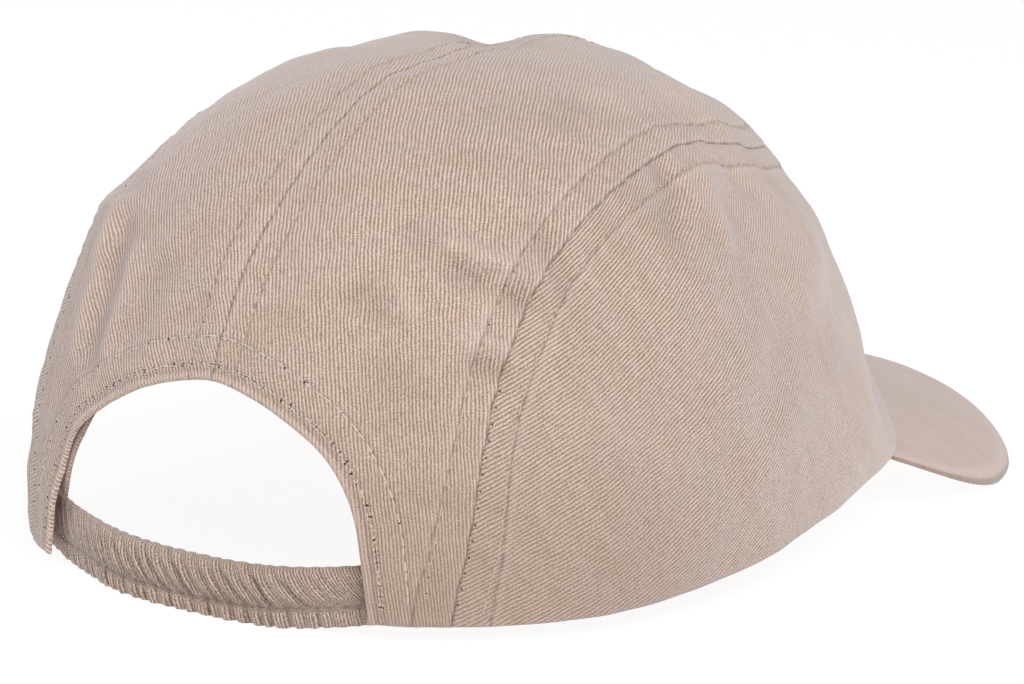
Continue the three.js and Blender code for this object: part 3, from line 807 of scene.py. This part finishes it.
def arch_facing():
    """The inner hem strip: a band beside the arch edge, set in behind the back panels. It shows
    past the edge low down on the wearer's left."""
    s, w = np.linspace(0.0, 1.0, FACING_GRID["along"]), crowd(*FACING_GRID["across"])
    at = mix(FACING_ENDS["right"], FACING_ENDS["left"], s)
    line = spline(ARCH_PLACES, at)
    aside = to_right(unit(np.gradient(line, axis=0)))
    start = mix(FACING_SET_IN, -FACING_PROUD, ramp(at, FACING_SHOWS["from"], FACING_SHOWS["to"]))
    offset = mix(start[:, None], FACING_WIDTH, w)
    spots = line[:, None] + aside[:, None] * offset[..., None]
    _, points = soft_crown(spots)
    away = outward(spots)
    length = run_along(points[:, 0])
    depth = np.linalg.norm(points - points[:, :1], axis=2)
    gap = np.minimum(depth, depth[:, -1:] - depth)
    gap = np.minimum(gap, np.minimum(length, length[-1] - length)[:, None])
    drawn = round_edge(gap, FACING_THICKNESS / 2.0)
    below = WALL + PLY_GAP - hem_lift(nearest(ARCH_LINE, points)[0])
    outer = rest(points - away * (below + drawn)[..., None])
    inner = rest(points - away * (below + FACING_THICKNESS - drawn)[..., None])
    weave = np.stack([np.broadcast_to(length[:, None], depth.shape), depth], axis=-1)
    marks = plain_marks(depth, FACING_FLAT)
    # Painted shade on the facing's low end on the wearer's left, in the shadow behind the strap's top
    # edge
    shaded = ramp(at, FACING_ENDS["shaded_from"], FACING_ENDS["left"])
    marks["painted_shade"] = np.broadcast_to(shaded[:, None], depth.shape)
    return sheet("arch_facing_cloth", outer, inner, weave, marks)


def peak_face(s, w):
    """The peak's upper face: ruled from the crown's rim to two mirrored cubic Bezier arcs. Its
    height falls with the distance ahead and with the square of the distance aside, and near the
    rim it rises to meet it."""
    across = mix(-1.0, 1.0, s)
    rim_spots = on_map(across * PEAK_HALF_TURN, np.ones_like(across))
    rim = soft_crown(rim_spots)[1] - outward(rim_spots) * WALL
    corner = smooth_crown(on_map(PEAK_HALF_TURN, 1.0))[2]
    slant = math.radians(PEAK_CORNER_SLANT)
    pulled = corner[:2] + PEAK_CORNER_PULL * np.array([math.sin(slant), -math.cos(slant)])
    pull = np.array([corner[:2], pulled, [PEAK_TIP_PULL, -PEAK_TIP_REACH], [0.0, -PEAK_TIP_REACH]])
    t = (1.0 - np.abs(across))[..., None]
    outline = (1 - t) ** 3 * pull[0] + 3 * (1 - t) ** 2 * t * pull[1]
    outline = outline + 3 * (1 - t) * t**2 * pull[2] + t**3 * pull[3]
    x = mix(rim[..., 0], outline[..., 0] * np.sign(across), w)
    y = mix(rim[..., 1], outline[..., 1], w)

    def height(px, py):
        return PEAK_ROOT_RISE - PEAK_SLOPE * (-py - FRONT_REACH) - px**2 / (2.0 * PEAK_BEND_RADIUS)

    meet = rim[..., 2] - PEAK_GAP - height(rim[..., 0], rim[..., 1])
    from_rim = np.hypot(x - rim[..., 0], y - rim[..., 1])
    return np.stack([x, y, height(x, y) + meet * hump(from_rim, 0.0, PEAK_ROOT_BLEND)], axis=-1)


def peak():
    """The peak: its upper face, the same face lower by its thickness, and a round edge, where the
    upper face turns down along a quarter of an ellipse, 1 - sqrt(1 - t^2). Its root runs on a
    little behind the crown's rim, so that no light shows between them."""
    s, w = crowded(PEAK_GRID)
    tuck = np.clip(1.0 - w / PEAK_TUCK["share"], 0.0, 1.0)[..., None]
    root_away = outward(on_map(mix(-PEAK_HALF_TURN, PEAK_HALF_TURN, s), 1.0)) * [1.0, 1.0, 0.0]
    inward = tuck * (np.array([0.0, 0.0, PEAK_TUCK["up"]]) - PEAK_TUCK["in"] * root_away)
    past_tuck = np.maximum((w - PEAK_TUCK["share"]) / (1.0 - PEAK_TUCK["share"]), 0.0)
    face = peak_face(s, past_tuck) + inward
    rim = peak_face(s, np.ones_like(w))
    rim_gap = np.linalg.norm(face - rim, axis=2)
    ahead = 1.0 - np.abs(mix(-1.0, 1.0, s))
    edge = mix(PEAK_EDGE["root"], PEAK_THICKNESS, ramp(ahead, 0.0, PEAK_EDGE["full_at"]))
    thickness = mix(edge, PEAK_THICKNESS, ramp(rim_gap, 0.0, PEAK_EDGE["width"]))
    half = PEAK_EDGE["root"] / 2.0
    t = np.clip(1.0 - rim_gap / PEAK_EDGE["shoulder"], 0.0, 1.0)
    drawn = (edge - half - PEAK_EDGE["band"]) * (1.0 - np.sqrt(1.0 - t * t))
    lower = np.array([0.0, 0.0, -1.0])
    x, y = face[..., 0], face[..., 1]
    soft = sum(size * uneven(a * x + b * y, pitch, seed) for size, a, b, pitch, seed in PEAK_WAVES)
    upper = rest(face + lower * (drawn + soft)[..., None])
    under = rest(face + lower * (thickness - round_edge(rim_gap, half))[..., None])
    weave = turned(np.stack([x, y - drawn], axis=-1), PEAK_WEAVE_ANGLE)
    marks = plain_marks(x, PEAK_FLAT)
    marks["wear_and_highlight"] = band(rim_gap, *PEAK_WORN)
    # A thin line of painted shade along the peak's edge
    marks["painted_shade"] = band(rim_gap, *PEAK_EDGE_SHADE)
    return sheet("peak_cloth", upper, under, weave, marks)


def strap_surface(s, angle):
    """The strap's skin at a share s of its length and an angle round its section: two puffed
    channels either side of a sewn line. Soft ribs, 1 - 2 |cos|, curve down the upper channel, and
    shorter ruffles run across the lower one."""
    back_turn = mix(-STRAP_TURNS["right"], STRAP_TURNS["left"], s)
    to_end = np.minimum(1.0, (back_turn / STRAP_TURNS["right"]) ** 2)
    tuck = ramp(np.abs(back_turn), STRAP_TUCK["from"], STRAP_TUCK["to"])
    rim = smooth_crown(on_map(180.0 - back_turn, 1.0))[2]
    inward = unit(rim * [-1.0, -1.0, 0.0])
    outer = rim + inward * (tuck * STRAP_TUCK["depth"])[..., None]
    thickness = mix(STRAP_THICKNESS["middle"], STRAP_THICKNESS["end"], tuck)
    high = 0.5 + 0.5 * np.sin(angle)
    groove = STRAP_SEWN["depth"] * hump(high, STRAP_SEWN["height"], STRAP_SEWN["width"])
    drift = STRAP_WANDER["size"] * uneven(s, STRAP_WANDER["pitch"], 41)
    below = 1.0 - high
    lean = RIBS["lean"] * below * (0.45 + 0.75 * below) * (1.3 - 0.58 * s)
    rib_wander = drift + RIB_WANDER["size"] * uneven(high, RIB_WANDER["pitch"], 42)
    ruffle_wander = RUFFLES["lean"] * below + STRAP_WANDER["in_ruffles"] * drift
    rib_phase = np.pi * RIBS["count"] * s + lean + rib_wander
    ruffle_phase = np.pi * RUFFLES["count"] * s + ruffle_wander
    upper = ramp(high - STRAP_SEWN["height"], -STRAP_SEWN["step"], STRAP_SEWN["step"])
    fullness = mix(1.0, STRAP_FULL_AT_ENDS, tuck)
    rib_valley, ruffle_valley = 1.0 - np.sin(rib_phase) ** 2, 1.0 - np.sin(ruffle_phase) ** 2
    rib_size = varied(RIB_SIZE, s + 0.10 * below, 43)
    rib_size = rib_size * mix(1.0, RIB_AT_TOP["size"], ramp(high, RIB_AT_TOP["from"], 1.0))
    ruffle_size = varied(RUFFLE_SIZE, s, 44)
    rib = (1.0 - 2.0 * rib_valley**VALLEY_POWER) * RIBS["depth"] * rib_size
    ruffle = (1.0 - 2.0 * ruffle_valley**VALLEY_POWER) * RUFFLES["depth"] * ruffle_size
    swell = mix(ruffle, rib, upper) * fullness * (1.0 - 2.0 * groove)
    half = 0.5 * np.sign(np.cos(angle)) * np.abs(np.cos(angle)) ** 0.6
    depth = 0.5 - half * (1.0 - groove)
    top, bottom = (
        mix(edge["middle"], np.where(back_turn > 0.0, edge["left"], edge["right"]), to_end)
        for edge in (STRAP_TOP, STRAP_BOTTOM)
    )
    top = top - RIBS["edge"] * fullness * rib_valley
    bottom = bottom + RUFFLES["edge"] * fullness * ruffle_size * ruffle_valley
    side = np.cos(angle) / np.maximum(np.abs(np.cos(angle)), 0.25)
    point = outer + inward * (depth * thickness - swell * side)[..., None]
    point = np.concatenate([point[..., :2], mix(bottom, top, high)[..., None]], axis=-1)
    slant = mix(RUFFLES["lean"] * below, lean, upper) / (np.pi * RIBS["count"])
    weave = np.stack([(s + 0.8 * slant) * STRAP_LENGTH, angle * STRAP_GIRTH], axis=-1)
    fold = mix(ruffle_size * ruffle_valley**3, rib_size * rib_valley**2, np.round(upper))
    # Painted shade: darker towards the strap's right end, in its fold valleys and along its sewn line
    sewn = STRAP_SHADE["sewn"] * hump(high, STRAP_SEWN["height"], STRAP_SEWN["dark_width"])
    shade = STRAP_SHADE["to_right"] * (1.0 - s) + STRAP_SHADE["folds"] * fold * fullness + sewn
    return point, weave, np.clip(shade, 0.0, 1.0)


def strap():
    """The strap's skin closed round its section, with a flat cap at each end."""
    sections, corners = STRAP_GRID["sections"], STRAP_GRID["corners"]
    s, angle = np.linspace(0.0, 1.0, sections), np.linspace(0.0, 2.0 * np.pi, corners + 1)
    points, weave, shade = strap_surface(*np.meshgrid(s, angle, indexing="ij"))
    points = rest(points)
    ring = np.arange(sections * corners).reshape(sections, corners)
    beside = np.roll(ring, -1, axis=1)
    quads = np.stack([ring[:-1], beside[:-1], beside[1:], ring[1:]], axis=-1).reshape(-1, 4)
    flat = points[:, :corners].reshape(-1, 3)
    faces = [list(q) for q in quads] + [list(ring[0][::-1]), list(ring[-1])]
    a, b, c = (flat[quads[:, k]] for k in range(3))
    from_middle = a - points.mean(1).repeat(corners, 0)[quads[:, 0]]
    if (np.cross(b - a, c - a) * from_middle).sum() < 0.0:
        faces = [face[::-1] for face in faces]
    marks = plain_marks(flat[:, 0], 0.0)
    marks["painted_shade"] = shade[:, :corners].ravel()
    return put_mesh("back_strap_cloth", flat, faces, weave[:, :corners].reshape(-1, 2), marks)


def row_beside(line, distance):
    """Map places that lie a true distance from a seam's line on the crown, to its right: each is
    stepped aside on the map, and the step is scaled until the distance is met."""
    side = to_right(unit(np.gradient(line, axis=0))) * np.sign(distance)[:, None]
    start = soft_crown(line)[1]
    step = np.abs(distance) * 10.0
    for _ in range(6):
        there = soft_crown(line + side * step[:, None])[1]
        step = step * np.abs(distance) / (np.linalg.norm(there - start, axis=1) + 1e-9)
    return line + side * step[:, None]


def stations(points, away, pitch, share, steps):
    """Evenly spaced pieces of a row: for each, points and outward vectors over a share of the
    pitch, and the direction aside."""
    run = run_along(points)
    count = int(run[-1] / pitch)
    starts = (np.arange(count) + (1.0 - share) / 2.0) * pitch
    at = starts[:, None] + np.linspace(0.0, share * pitch, steps)
    spots = np.stack([np.interp(at, run, points[:, k]) for k in range(3)], axis=-1)
    up = unit(np.stack([np.interp(at, run, away[:, k]) for k in range(3)], axis=-1))
    along = unit(np.gradient(spots, axis=1))
    return spots, up, unit(np.cross(along, up))


def six_sided(across, up):
    """The six corners of a ring round a place, from its directions across and up."""
    angle = 2.0 * np.pi * np.arange(6)[:, None] / 6
    return np.cos(angle) * across[..., None, :] + np.sin(angle) * up[..., None, :]


def copied(parts, *faces):
    """The points of many like shapes in one list, and the faces of one shape copied to all."""
    points = np.concatenate(parts)
    first = points.shape[1] * np.arange(len(points))[:, None, None]
    every = [(one[None] + first).reshape(-1, one.shape[1]).tolist() for one in faces]
    return points.reshape(-1, 3), sum(every, [])


def thread_mesh(rows, pitch, thread_radius):
    """Stitches: each is a six-sided thread whose middle follows half a sine over the cloth and
    whose ends dip into it."""
    random = np.random.default_rng(STITCH["seed"])
    steps = 6
    t = np.linspace(0.0, 1.0, steps)
    bow = np.sin(np.pi * t) ** 0.6
    radius = (thread_radius * (0.55 + 0.45 * bow))[:, None, None]
    parts = []
    for points, away in rows:
        spots, up, aside = stations(points, away, pitch, 1.0 - STITCH["gap"] / pitch, steps)
        count = len(spots)
        lean = random.normal(0.0, STITCH["lean"], count)[:, None] * (2.0 * t - 1.0)
        lift = (STITCH["arch"] * (1.0 + 0.25 * random.normal(size=count)))[:, None] * bow
        middle = spots + up * (lift - STITCH["sunk"])[..., None] + aside * lean[..., None]
        ring = middle[:, :, None] + six_sided(aside, up) * radius
        parts.append(ring.reshape(count, -1, 3))
    local = np.arange(steps * 6).reshape(steps, 6)
    beside = np.roll(local, -1, axis=1)
    quads = np.stack([local[:-1], local[1:], beside[1:], beside[:-1]], axis=-1).reshape(-1, 4)
    return copied(parts, quads, np.stack([local[0], local[-1][::-1]]))


def hole_mesh(rows, pitch, radius):
    """Needle holes: low six-sided domes that stand just proud of the cloth at the ends of the
    stitches, dark with the painted shade of each hole."""
    parts = []
    for points, away in rows:
        spots, up, aside = (place[:, 1] for place in stations(points, away, pitch, 0.1, 3))
        ring = six_sided(aside, np.cross(up, aside) * 1.25) * radius
        low = spots[:, None] + ring - up[:, None] * STITCH["sunk"]
        high = spots[:, None] + ring * 0.6 + up[:, None] * (0.42 * radius)
        parts.append(np.concatenate([low, high], axis=1))
    low, high = np.arange(6), np.arange(6) + 6
    quads = np.stack([low, np.roll(low, -1), np.roll(high, -1), high], axis=-1)
    return copied(parts, quads, np.stack([low[::-1], high]))


def row_on_cloth(line, distance, panel):
    """A row a true distance beside a line of the map, as points on a panel's finished cloth and
    outward vectors. It stops just short of the rim."""
    spots = row_beside(line, distance)
    spots = spots[np.hypot(spots[:, 0], spots[:, 1]) < ROW_STOPS_AT]
    points, away, *_ = cloth(spots, panel)
    return rest(points), away


def sewn_rows():
    """The stitch rows of the crown by kind, and the needle holes along its side seam."""
    share = np.linspace(0.0, 1.0, ROW_SAMPLES)
    side_line = spline(SIDE_PLACES, share)
    centre_line = centre_places(share)
    arch_line = spline(ARCH_PLACES, share)
    row = side_row(smooth_crown(side_line)[1])
    run = run_along(soft_crown(arch_line)[1])
    sway = EDGE_ROW["apart"] * np.sin(2.0 * np.pi * run / EDGE_ROW["crosses_every"])
    centre_row, hem_row = (np.full(ROW_SAMPLES, gap) for gap in (CENTRE_ROW, HEM_ROW))
    seams = [
        row_on_cloth(side_line, row, "front"),
        row_on_cloth(side_line, -row, "back"),
        row_on_cloth(centre_line, centre_row, "back"),
        row_on_cloth(centre_line, -centre_row, "back"),
    ]
    hems = [row_on_cloth(arch_line, hem_row, "back")]
    edges = [row_on_cloth(arch_line, EDGE_ROW["middle"] + side * sway, "back") for side in (-1.0, 1.0)]
    laps = []
    for half in np.split(side_line, 2):
        near_foot = half[np.hypot(*half.T) > LAP_HOLES["out_from"]]
        laps.append(row_on_cloth(near_foot, np.full(len(near_foot), LAP_HOLES["aside"]), "front"))
    return seams, hems, edges, laps


class Number:
    """A number that varies over a surface. Arithmetic on it adds Math nodes."""

    def __init__(self, finish, socket):
        self.finish = finish
        self.socket = socket

    def _math(self, operation, *values):
        settings = {"operation": operation}
        return Number(self.finish, self.finish.add("ShaderNodeMath", settings, values).outputs[0])

    def __add__(self, other):
        return self._math("ADD", self, other)

    def __sub__(self, other):
        return self._math("SUBTRACT", self, other)

    def __mul__(self, other):
        return self._math("MULTIPLY", self, other)

    def __truediv__(self, other):
        return self._math("DIVIDE", self, other)

    def __pow__(self, other):
        return self._math("POWER", self, other)

    def __rsub__(self, other):
        return self._math("SUBTRACT", other, self)

    def __rtruediv__(self, other):
        return self._math("DIVIDE", other, self)

    __radd__ = __add__
    __rmul__ = __mul__

    def cosine(self):
        return self._math("COSINE", self)

    def floor(self):
        return self._math("FLOOR", self)

    def clipped(self):
        return self._math("MINIMUM", self._math("MAXIMUM", self, 0.0), 1.0)


class Finish:
    """A new material. Constants go on its shader's own sockets, and nodes come from add()."""

    def __init__(self, name, **constants):
        self.material = bpy.data.materials.new(name)
        self.material.use_nodes = True
        self.tree = self.material.node_tree
        self.shader = self.tree.nodes["Principled BSDF"]
        for socket, value in constants.items():
            self.shader.inputs[socket.replace("_", " ").title()].default_value = value

    def add(self, kind, settings=None, values=()):
        """Adds a node of a kind with its settings, and then puts values or links in its sockets,
        which are given by name or in their order."""
        node = self.tree.nodes.new(kind)
        for setting, value in (settings or {}).items():
            setattr(node, setting, value)
        pairs = values.items() if isinstance(values, dict) else enumerate(values)
        for socket, value in pairs:
            self.plug(node.inputs[socket], value)
        return node

    def plug(self, socket, value):
        """Links a number or an output to a socket, or sets the socket's own value."""
        source = value.socket if isinstance(value, Number) else value
        if isinstance(source, bpy.types.NodeSocket):
            self.tree.links.new(source, socket)
        else:
            socket.default_value = source

    def number(self, kind, settings=None, values=(), output=0):
        return Number(self, self.add(kind, settings, values).outputs[output])

    def noise(self, place, scale, detail=2.0, roughness=0.5):
        """Blender's noise at a place, from 0 to 1."""
        values = {"Vector": place, "Scale": scale, "Detail": detail, "Roughness": roughness}
        return self.number("ShaderNodeTexNoise", None, values)

    def stretched(self, place, factors):
        """A place with each coordinate multiplied by its own factor."""
        settings = {"operation": "MULTIPLY"}
        return self.add("ShaderNodeVectorMath", settings, [place, factors]).outputs[0]

    def blend(self, share, first, second):
        """The colour between two others."""
        node = self.add("ShaderNodeMix", {"data_type": "RGBA"})
        for socket, value in ((0, share), (6, first), (7, second)):
            self.plug(node.inputs[socket], value)
        return node.outputs[2]


def tinted(colour, *factors):
    """A colour with each part multiplied by its own factor, or all by one."""
    factors = factors * 3 if len(factors) == 1 else factors
    return tuple(min(1.0, c * k) for c, k in zip(colour[:3], factors)) + (1.0,)


def twill(name, crest, groove, pitch=RIDGE_PITCH):
    """Washed twill. Across the weave a cosine makes ridges at their pitch, and the grooves
    between them break into dots that step from ridge to ridge. Wide patches shift the hue. Worn
    edges and painted highlights on fold ridges are paler; painted shade darkens seams, creases,
    fold valleys and the band above the rim; where the nap lies flat the ridges fade and a painted
    lilac sheen comes in."""
    finish = Finish(name, roughness=0.92, sheen_weight=0.45, sheen_roughness=0.5)
    finish.shader.inputs["Specular IOR Level"].default_value = 0.15
    finish.shader.inputs["Sheen Tint"].default_value = (0.86, 0.88, 1.0, 1.0)
    weave = finish.add("ShaderNodeUVMap", {"uv_map": "weave"}).outputs["UV"]
    place = finish.add("ShaderNodeTexCoord").outputs["Object"]
    parts = finish.add("ShaderNodeSeparateXYZ", None, [weave])
    across = Number(finish, parts.outputs[0])
    along = Number(finish, parts.outputs[1])
    flat, wear_and_highlight, painted_shade, painted_rim_shade = (
        finish.number("ShaderNodeAttribute", {"attribute_name": mark}, (), 2)
        for mark in ("flat", "wear_and_highlight", "painted_shade", "painted_rim_shade")
    )
    wander, shiver, fibre, speck, blotch, fade = (
        finish.noise(finish.stretched(weave, (first, second, 1.0)), 1.0, detail, roughness)
        for first, second, detail, roughness in TWILL_NOISE.values()
    )
    wander, shiver = wander - 0.5, shiver - 0.5
    count = across / pitch + wander * 1.2 + shiver * 0.22
    ridge = (count * (2.0 * math.pi)).cosine() * 0.5 + 0.5
    step = (count + 0.5).floor() * 0.37
    dot = ((along / RIDGE_BEAD + step + shiver * 1.2) * (2.0 * math.pi)).cosine() * 0.5 + 0.5
    rosy = finish.noise(place, 58.0, 2.0, 0.5)
    valley = (1.0 - ridge) ** 1.3
    shown = 1.05 - flat * 0.88
    woven = valley * (0.66 + dot * 0.64) + ridge * (1.0 - dot) * 0.14
    dark = woven + (0.5 - fibre) * 2.9 + (0.5 - speck) * 0.8 + (0.5 - blotch) * 0.8 + 0.03
    tone = (dark * shown + (1.0 - shown) * 0.36).clipped()
    colour = finish.blend(tone, crest, groove)
    tan = finish.blend(tone, tinted(crest, 0.89, 0.83, 0.76), tinted(groove, 0.93, 0.86, 0.78))
    pink = finish.blend(tone, tinted(crest, 1.02, 0.98, 1.02), tinted(groove, 1.08, 1.05, 1.12))
    # Random tan and pink patches; a painted lilac sheen where the nap lies flat; paler wear and painted
    # highlights; painted shade above the rim and in seams, creases and folds
    layers = [
        (((fade - 0.45) * 3.0).clipped() * 0.75, tan),
        (((rosy - 0.50) * 3.5).clipped() * 0.65, pink),
        (flat * 0.25, tinted(crest, 1.0, 1.01, 1.06)),
        (wear_and_highlight * 0.30, tinted(crest, 1.08, 1.10, 1.14)),
        (painted_rim_shade * 0.42, tinted(groove, 1.10)),
        (painted_shade * 0.62, tinted(groove, 0.45)),
    ]
    for share, layer in layers:
        colour = finish.blend(share, colour, layer)
    finish.plug(finish.shader.inputs["Base Color"], colour)
    height = (1.0 - woven) * shown
    relief = {"Strength": 0.6, "Distance": 0.00022, "Height": height}
    bump = finish.add("ShaderNodeBump", None, relief)
    finish.plug(finish.shader.inputs["Normal"], bump.outputs[0])
    return finish.material


def plain(name, colour, roughness):
    """One plain finish with a faint mottle, for threads and needle holes."""
    finish = Finish(name, roughness=roughness)
    finish.shader.inputs["Specular IOR Level"].default_value = 0.2
    place = finish.add("ShaderNodeTexCoord").outputs["Object"]
    mottle = finish.noise(place, 2400.0, 2.0)
    dark = tuple(c * 0.72 for c in colour[:3]) + (1.0,)
    finish.plug(finish.shader.inputs["Base Color"], finish.blend(mottle, dark, colour))
    return finish.material


def floor_finish():
    """A pale floor that gives off some light of its own, as a lit sweep does."""
    finish = Finish("pale_floor", roughness=0.9)
    finish.shader.inputs["Base Color"].default_value = (FLOOR["grey"],) * 3 + (1.0,)
    finish.shader.inputs["Specular IOR Level"].default_value = 0.0
    finish.shader.inputs["Emission Color"].default_value = (1.0, 1.0, 1.0, 1.0)
    finish.shader.inputs["Emission Strength"].default_value = FLOOR["own_light"]
    return finish.material


def dress(piece, material, slot, *nodes):
    """Gives a piece its material and its place in the frame."""
    piece.data.materials.append(material)
    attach(piece, "root")
    if nodes:
        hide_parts(*nodes)
    return piece


def make_cap():
    """All the pieces of the cap."""
    crown = twill("crown_twill", CREST, GROOVE)
    # The peak's twill is painted a little lighter and the strap's a little darker than the crown's:
    # painted light and shade on the same cloth
    peak_cloth = twill("peak_twill", tinted(CREST, 1.10, 1.08, 1.08), tinted(GROOVE, 1.10))
    strap_cloth = twill(
        "strap_twill", tinted(CREST, 0.95, 0.93, 0.89), tinted(GROOVE, 0.80), STRAP_RIDGE_PITCH
    )
    facing_cloth = twill("facing_twill", tinted(CREST, 0.82, 0.78, 0.74), tinted(GROOVE, 0.80))
    thread = plain("beige_thread", (0.600, 0.480, 0.385, 1.0), 0.8)
    cream = plain("cream_thread", (0.690, 0.605, 0.505, 1.0), 0.7)
    # Needle holes: their dark colours are the painted shade inside each hole
    dark = plain("needle_hole_painted_shade", (0.085, 0.060, 0.042, 1.0), 0.95)
    shallow_hole_shade = plain("shallow_needle_hole_painted_shade", (0.130, 0.090, 0.065, 1.0), 0.95)
    dress(front_panel(), crown, "crown_twill", "front_panel")
    left = back_panel("back_panel_left_cloth", 1.0, LEFT_WEAVE)
    right = back_panel("back_panel_right_cloth", -1.0, RIGHT_WEAVE)
    dress(left, crown, "crown_twill", "back_panel_left")
    dress(right, crown, "crown_twill", "back_panel_right")
    dress(peak(), peak_cloth, "peak_twill", "peak")
    dress(strap(), strap_cloth, "strap_twill", "back_strap")
    dress(arch_facing(), facing_cloth, "facing_twill", "arch_facing")
    seams, hems, edges, laps = sewn_rows()
    kinds = [
        ("seam", seams, SEAM_ROWS, thread, shallow_hole_shade),
        ("hem", hems, HEM_ROWS, cream, dark),
        ("edge", edges, EDGE_ROWS, cream, dark),
    ]
    for name, rows, kind, colour, shade in kinds:
        stitches = put_mesh(name + "_stitches", *thread_mesh(rows, kind["pitch"], kind["thread"]))
        dress(stitches, colour, "crown_twill")
        holes = put_mesh(name + "_needle_holes", *hole_mesh(rows, kind["pitch"], kind["hole"]))
        dress(holes, shade, "crown_twill")
    holes = put_mesh("lap_needle_holes", *hole_mesh(laps, LAP_HOLES["pitch"], LAP_HOLES["hole"]))
    dress(holes, dark, "crown_twill")


def make_floor():
    """A square of floor under the cap."""
    corners = np.array([[-1, -1, 0], [1, -1, 0], [1, 1, 0], [-1, 1, 0]]) * FLOOR["half"]
    floor = put_mesh("floor", corners, [[0, 1, 2, 3]])
    floor.data.materials.append(floor_finish())


def make_light(name, position, size, power):
    """A square soft light that faces the cap."""
    light = bpy.data.lights.new(name, "AREA")
    light.size = size
    light.energy = power
    lamp = bpy.data.objects.new(name, light)
    lamp.location = position
    ahead = Vector(LIT_PLACE) - Vector(position)
    lamp.rotation_euler = ahead.to_track_quat("-Z", "Y").to_euler()
    bpy.context.scene.collection.objects.link(lamp)


def make_lights():
    """White surroundings and two soft lights, the stronger one high on the camera's right."""
    world = bpy.data.worlds.new("studio")
    world.use_nodes = True
    background = world.node_tree.nodes["Background"]
    background.inputs["Color"].default_value = (1.0, 1.0, 1.0, 1.0)
    background.inputs["Strength"].default_value = SURROUNDINGS
    bpy.context.scene.world = world
    make_light("key", **KEY_LIGHT)
    make_light("fill", **FILL_LIGHT)


def make_camera():
    """The camera, placed in the crown's level frame and turned with it into the resting one."""
    turn, tilt = CAMERA_TURN, CAMERA_RISE
    back = np.array([
        math.sin(turn) * math.cos(tilt), -math.cos(turn) * math.cos(tilt), math.sin(tilt)
    ])
    right = np.array([math.cos(turn), math.sin(turn), 0.0])
    up = np.cross(back, right)
    spot = right * CAMERA_ASIDE + up * CAMERA_ABOVE + back * CAMERA_DISTANCE
    origin = tipped(np.zeros(3))
    axes = [tipped(direction) - origin for direction in (right, up, back)]
    matrix = Matrix.Identity(4)
    for column, axis in enumerate(axes + [tipped(spot)]):
        for line in range(3):
            matrix[line][column] = axis[line]
    camera = bpy.data.objects.new("camera", bpy.data.cameras.new("camera"))
    camera.data.sensor_width = SENSOR_WIDTH
    camera.data.lens = CAMERA_LENS
    camera.data.clip_start = 0.05
    camera.data.clip_end = 20.0
    camera.matrix_world = matrix
    bpy.context.scene.collection.objects.link(camera)
    bpy.context.scene.camera = camera


make_camera()
make_cap()
make_floor()
make_lights()
bpy.context.scene.view_settings.view_transform = "Standard"
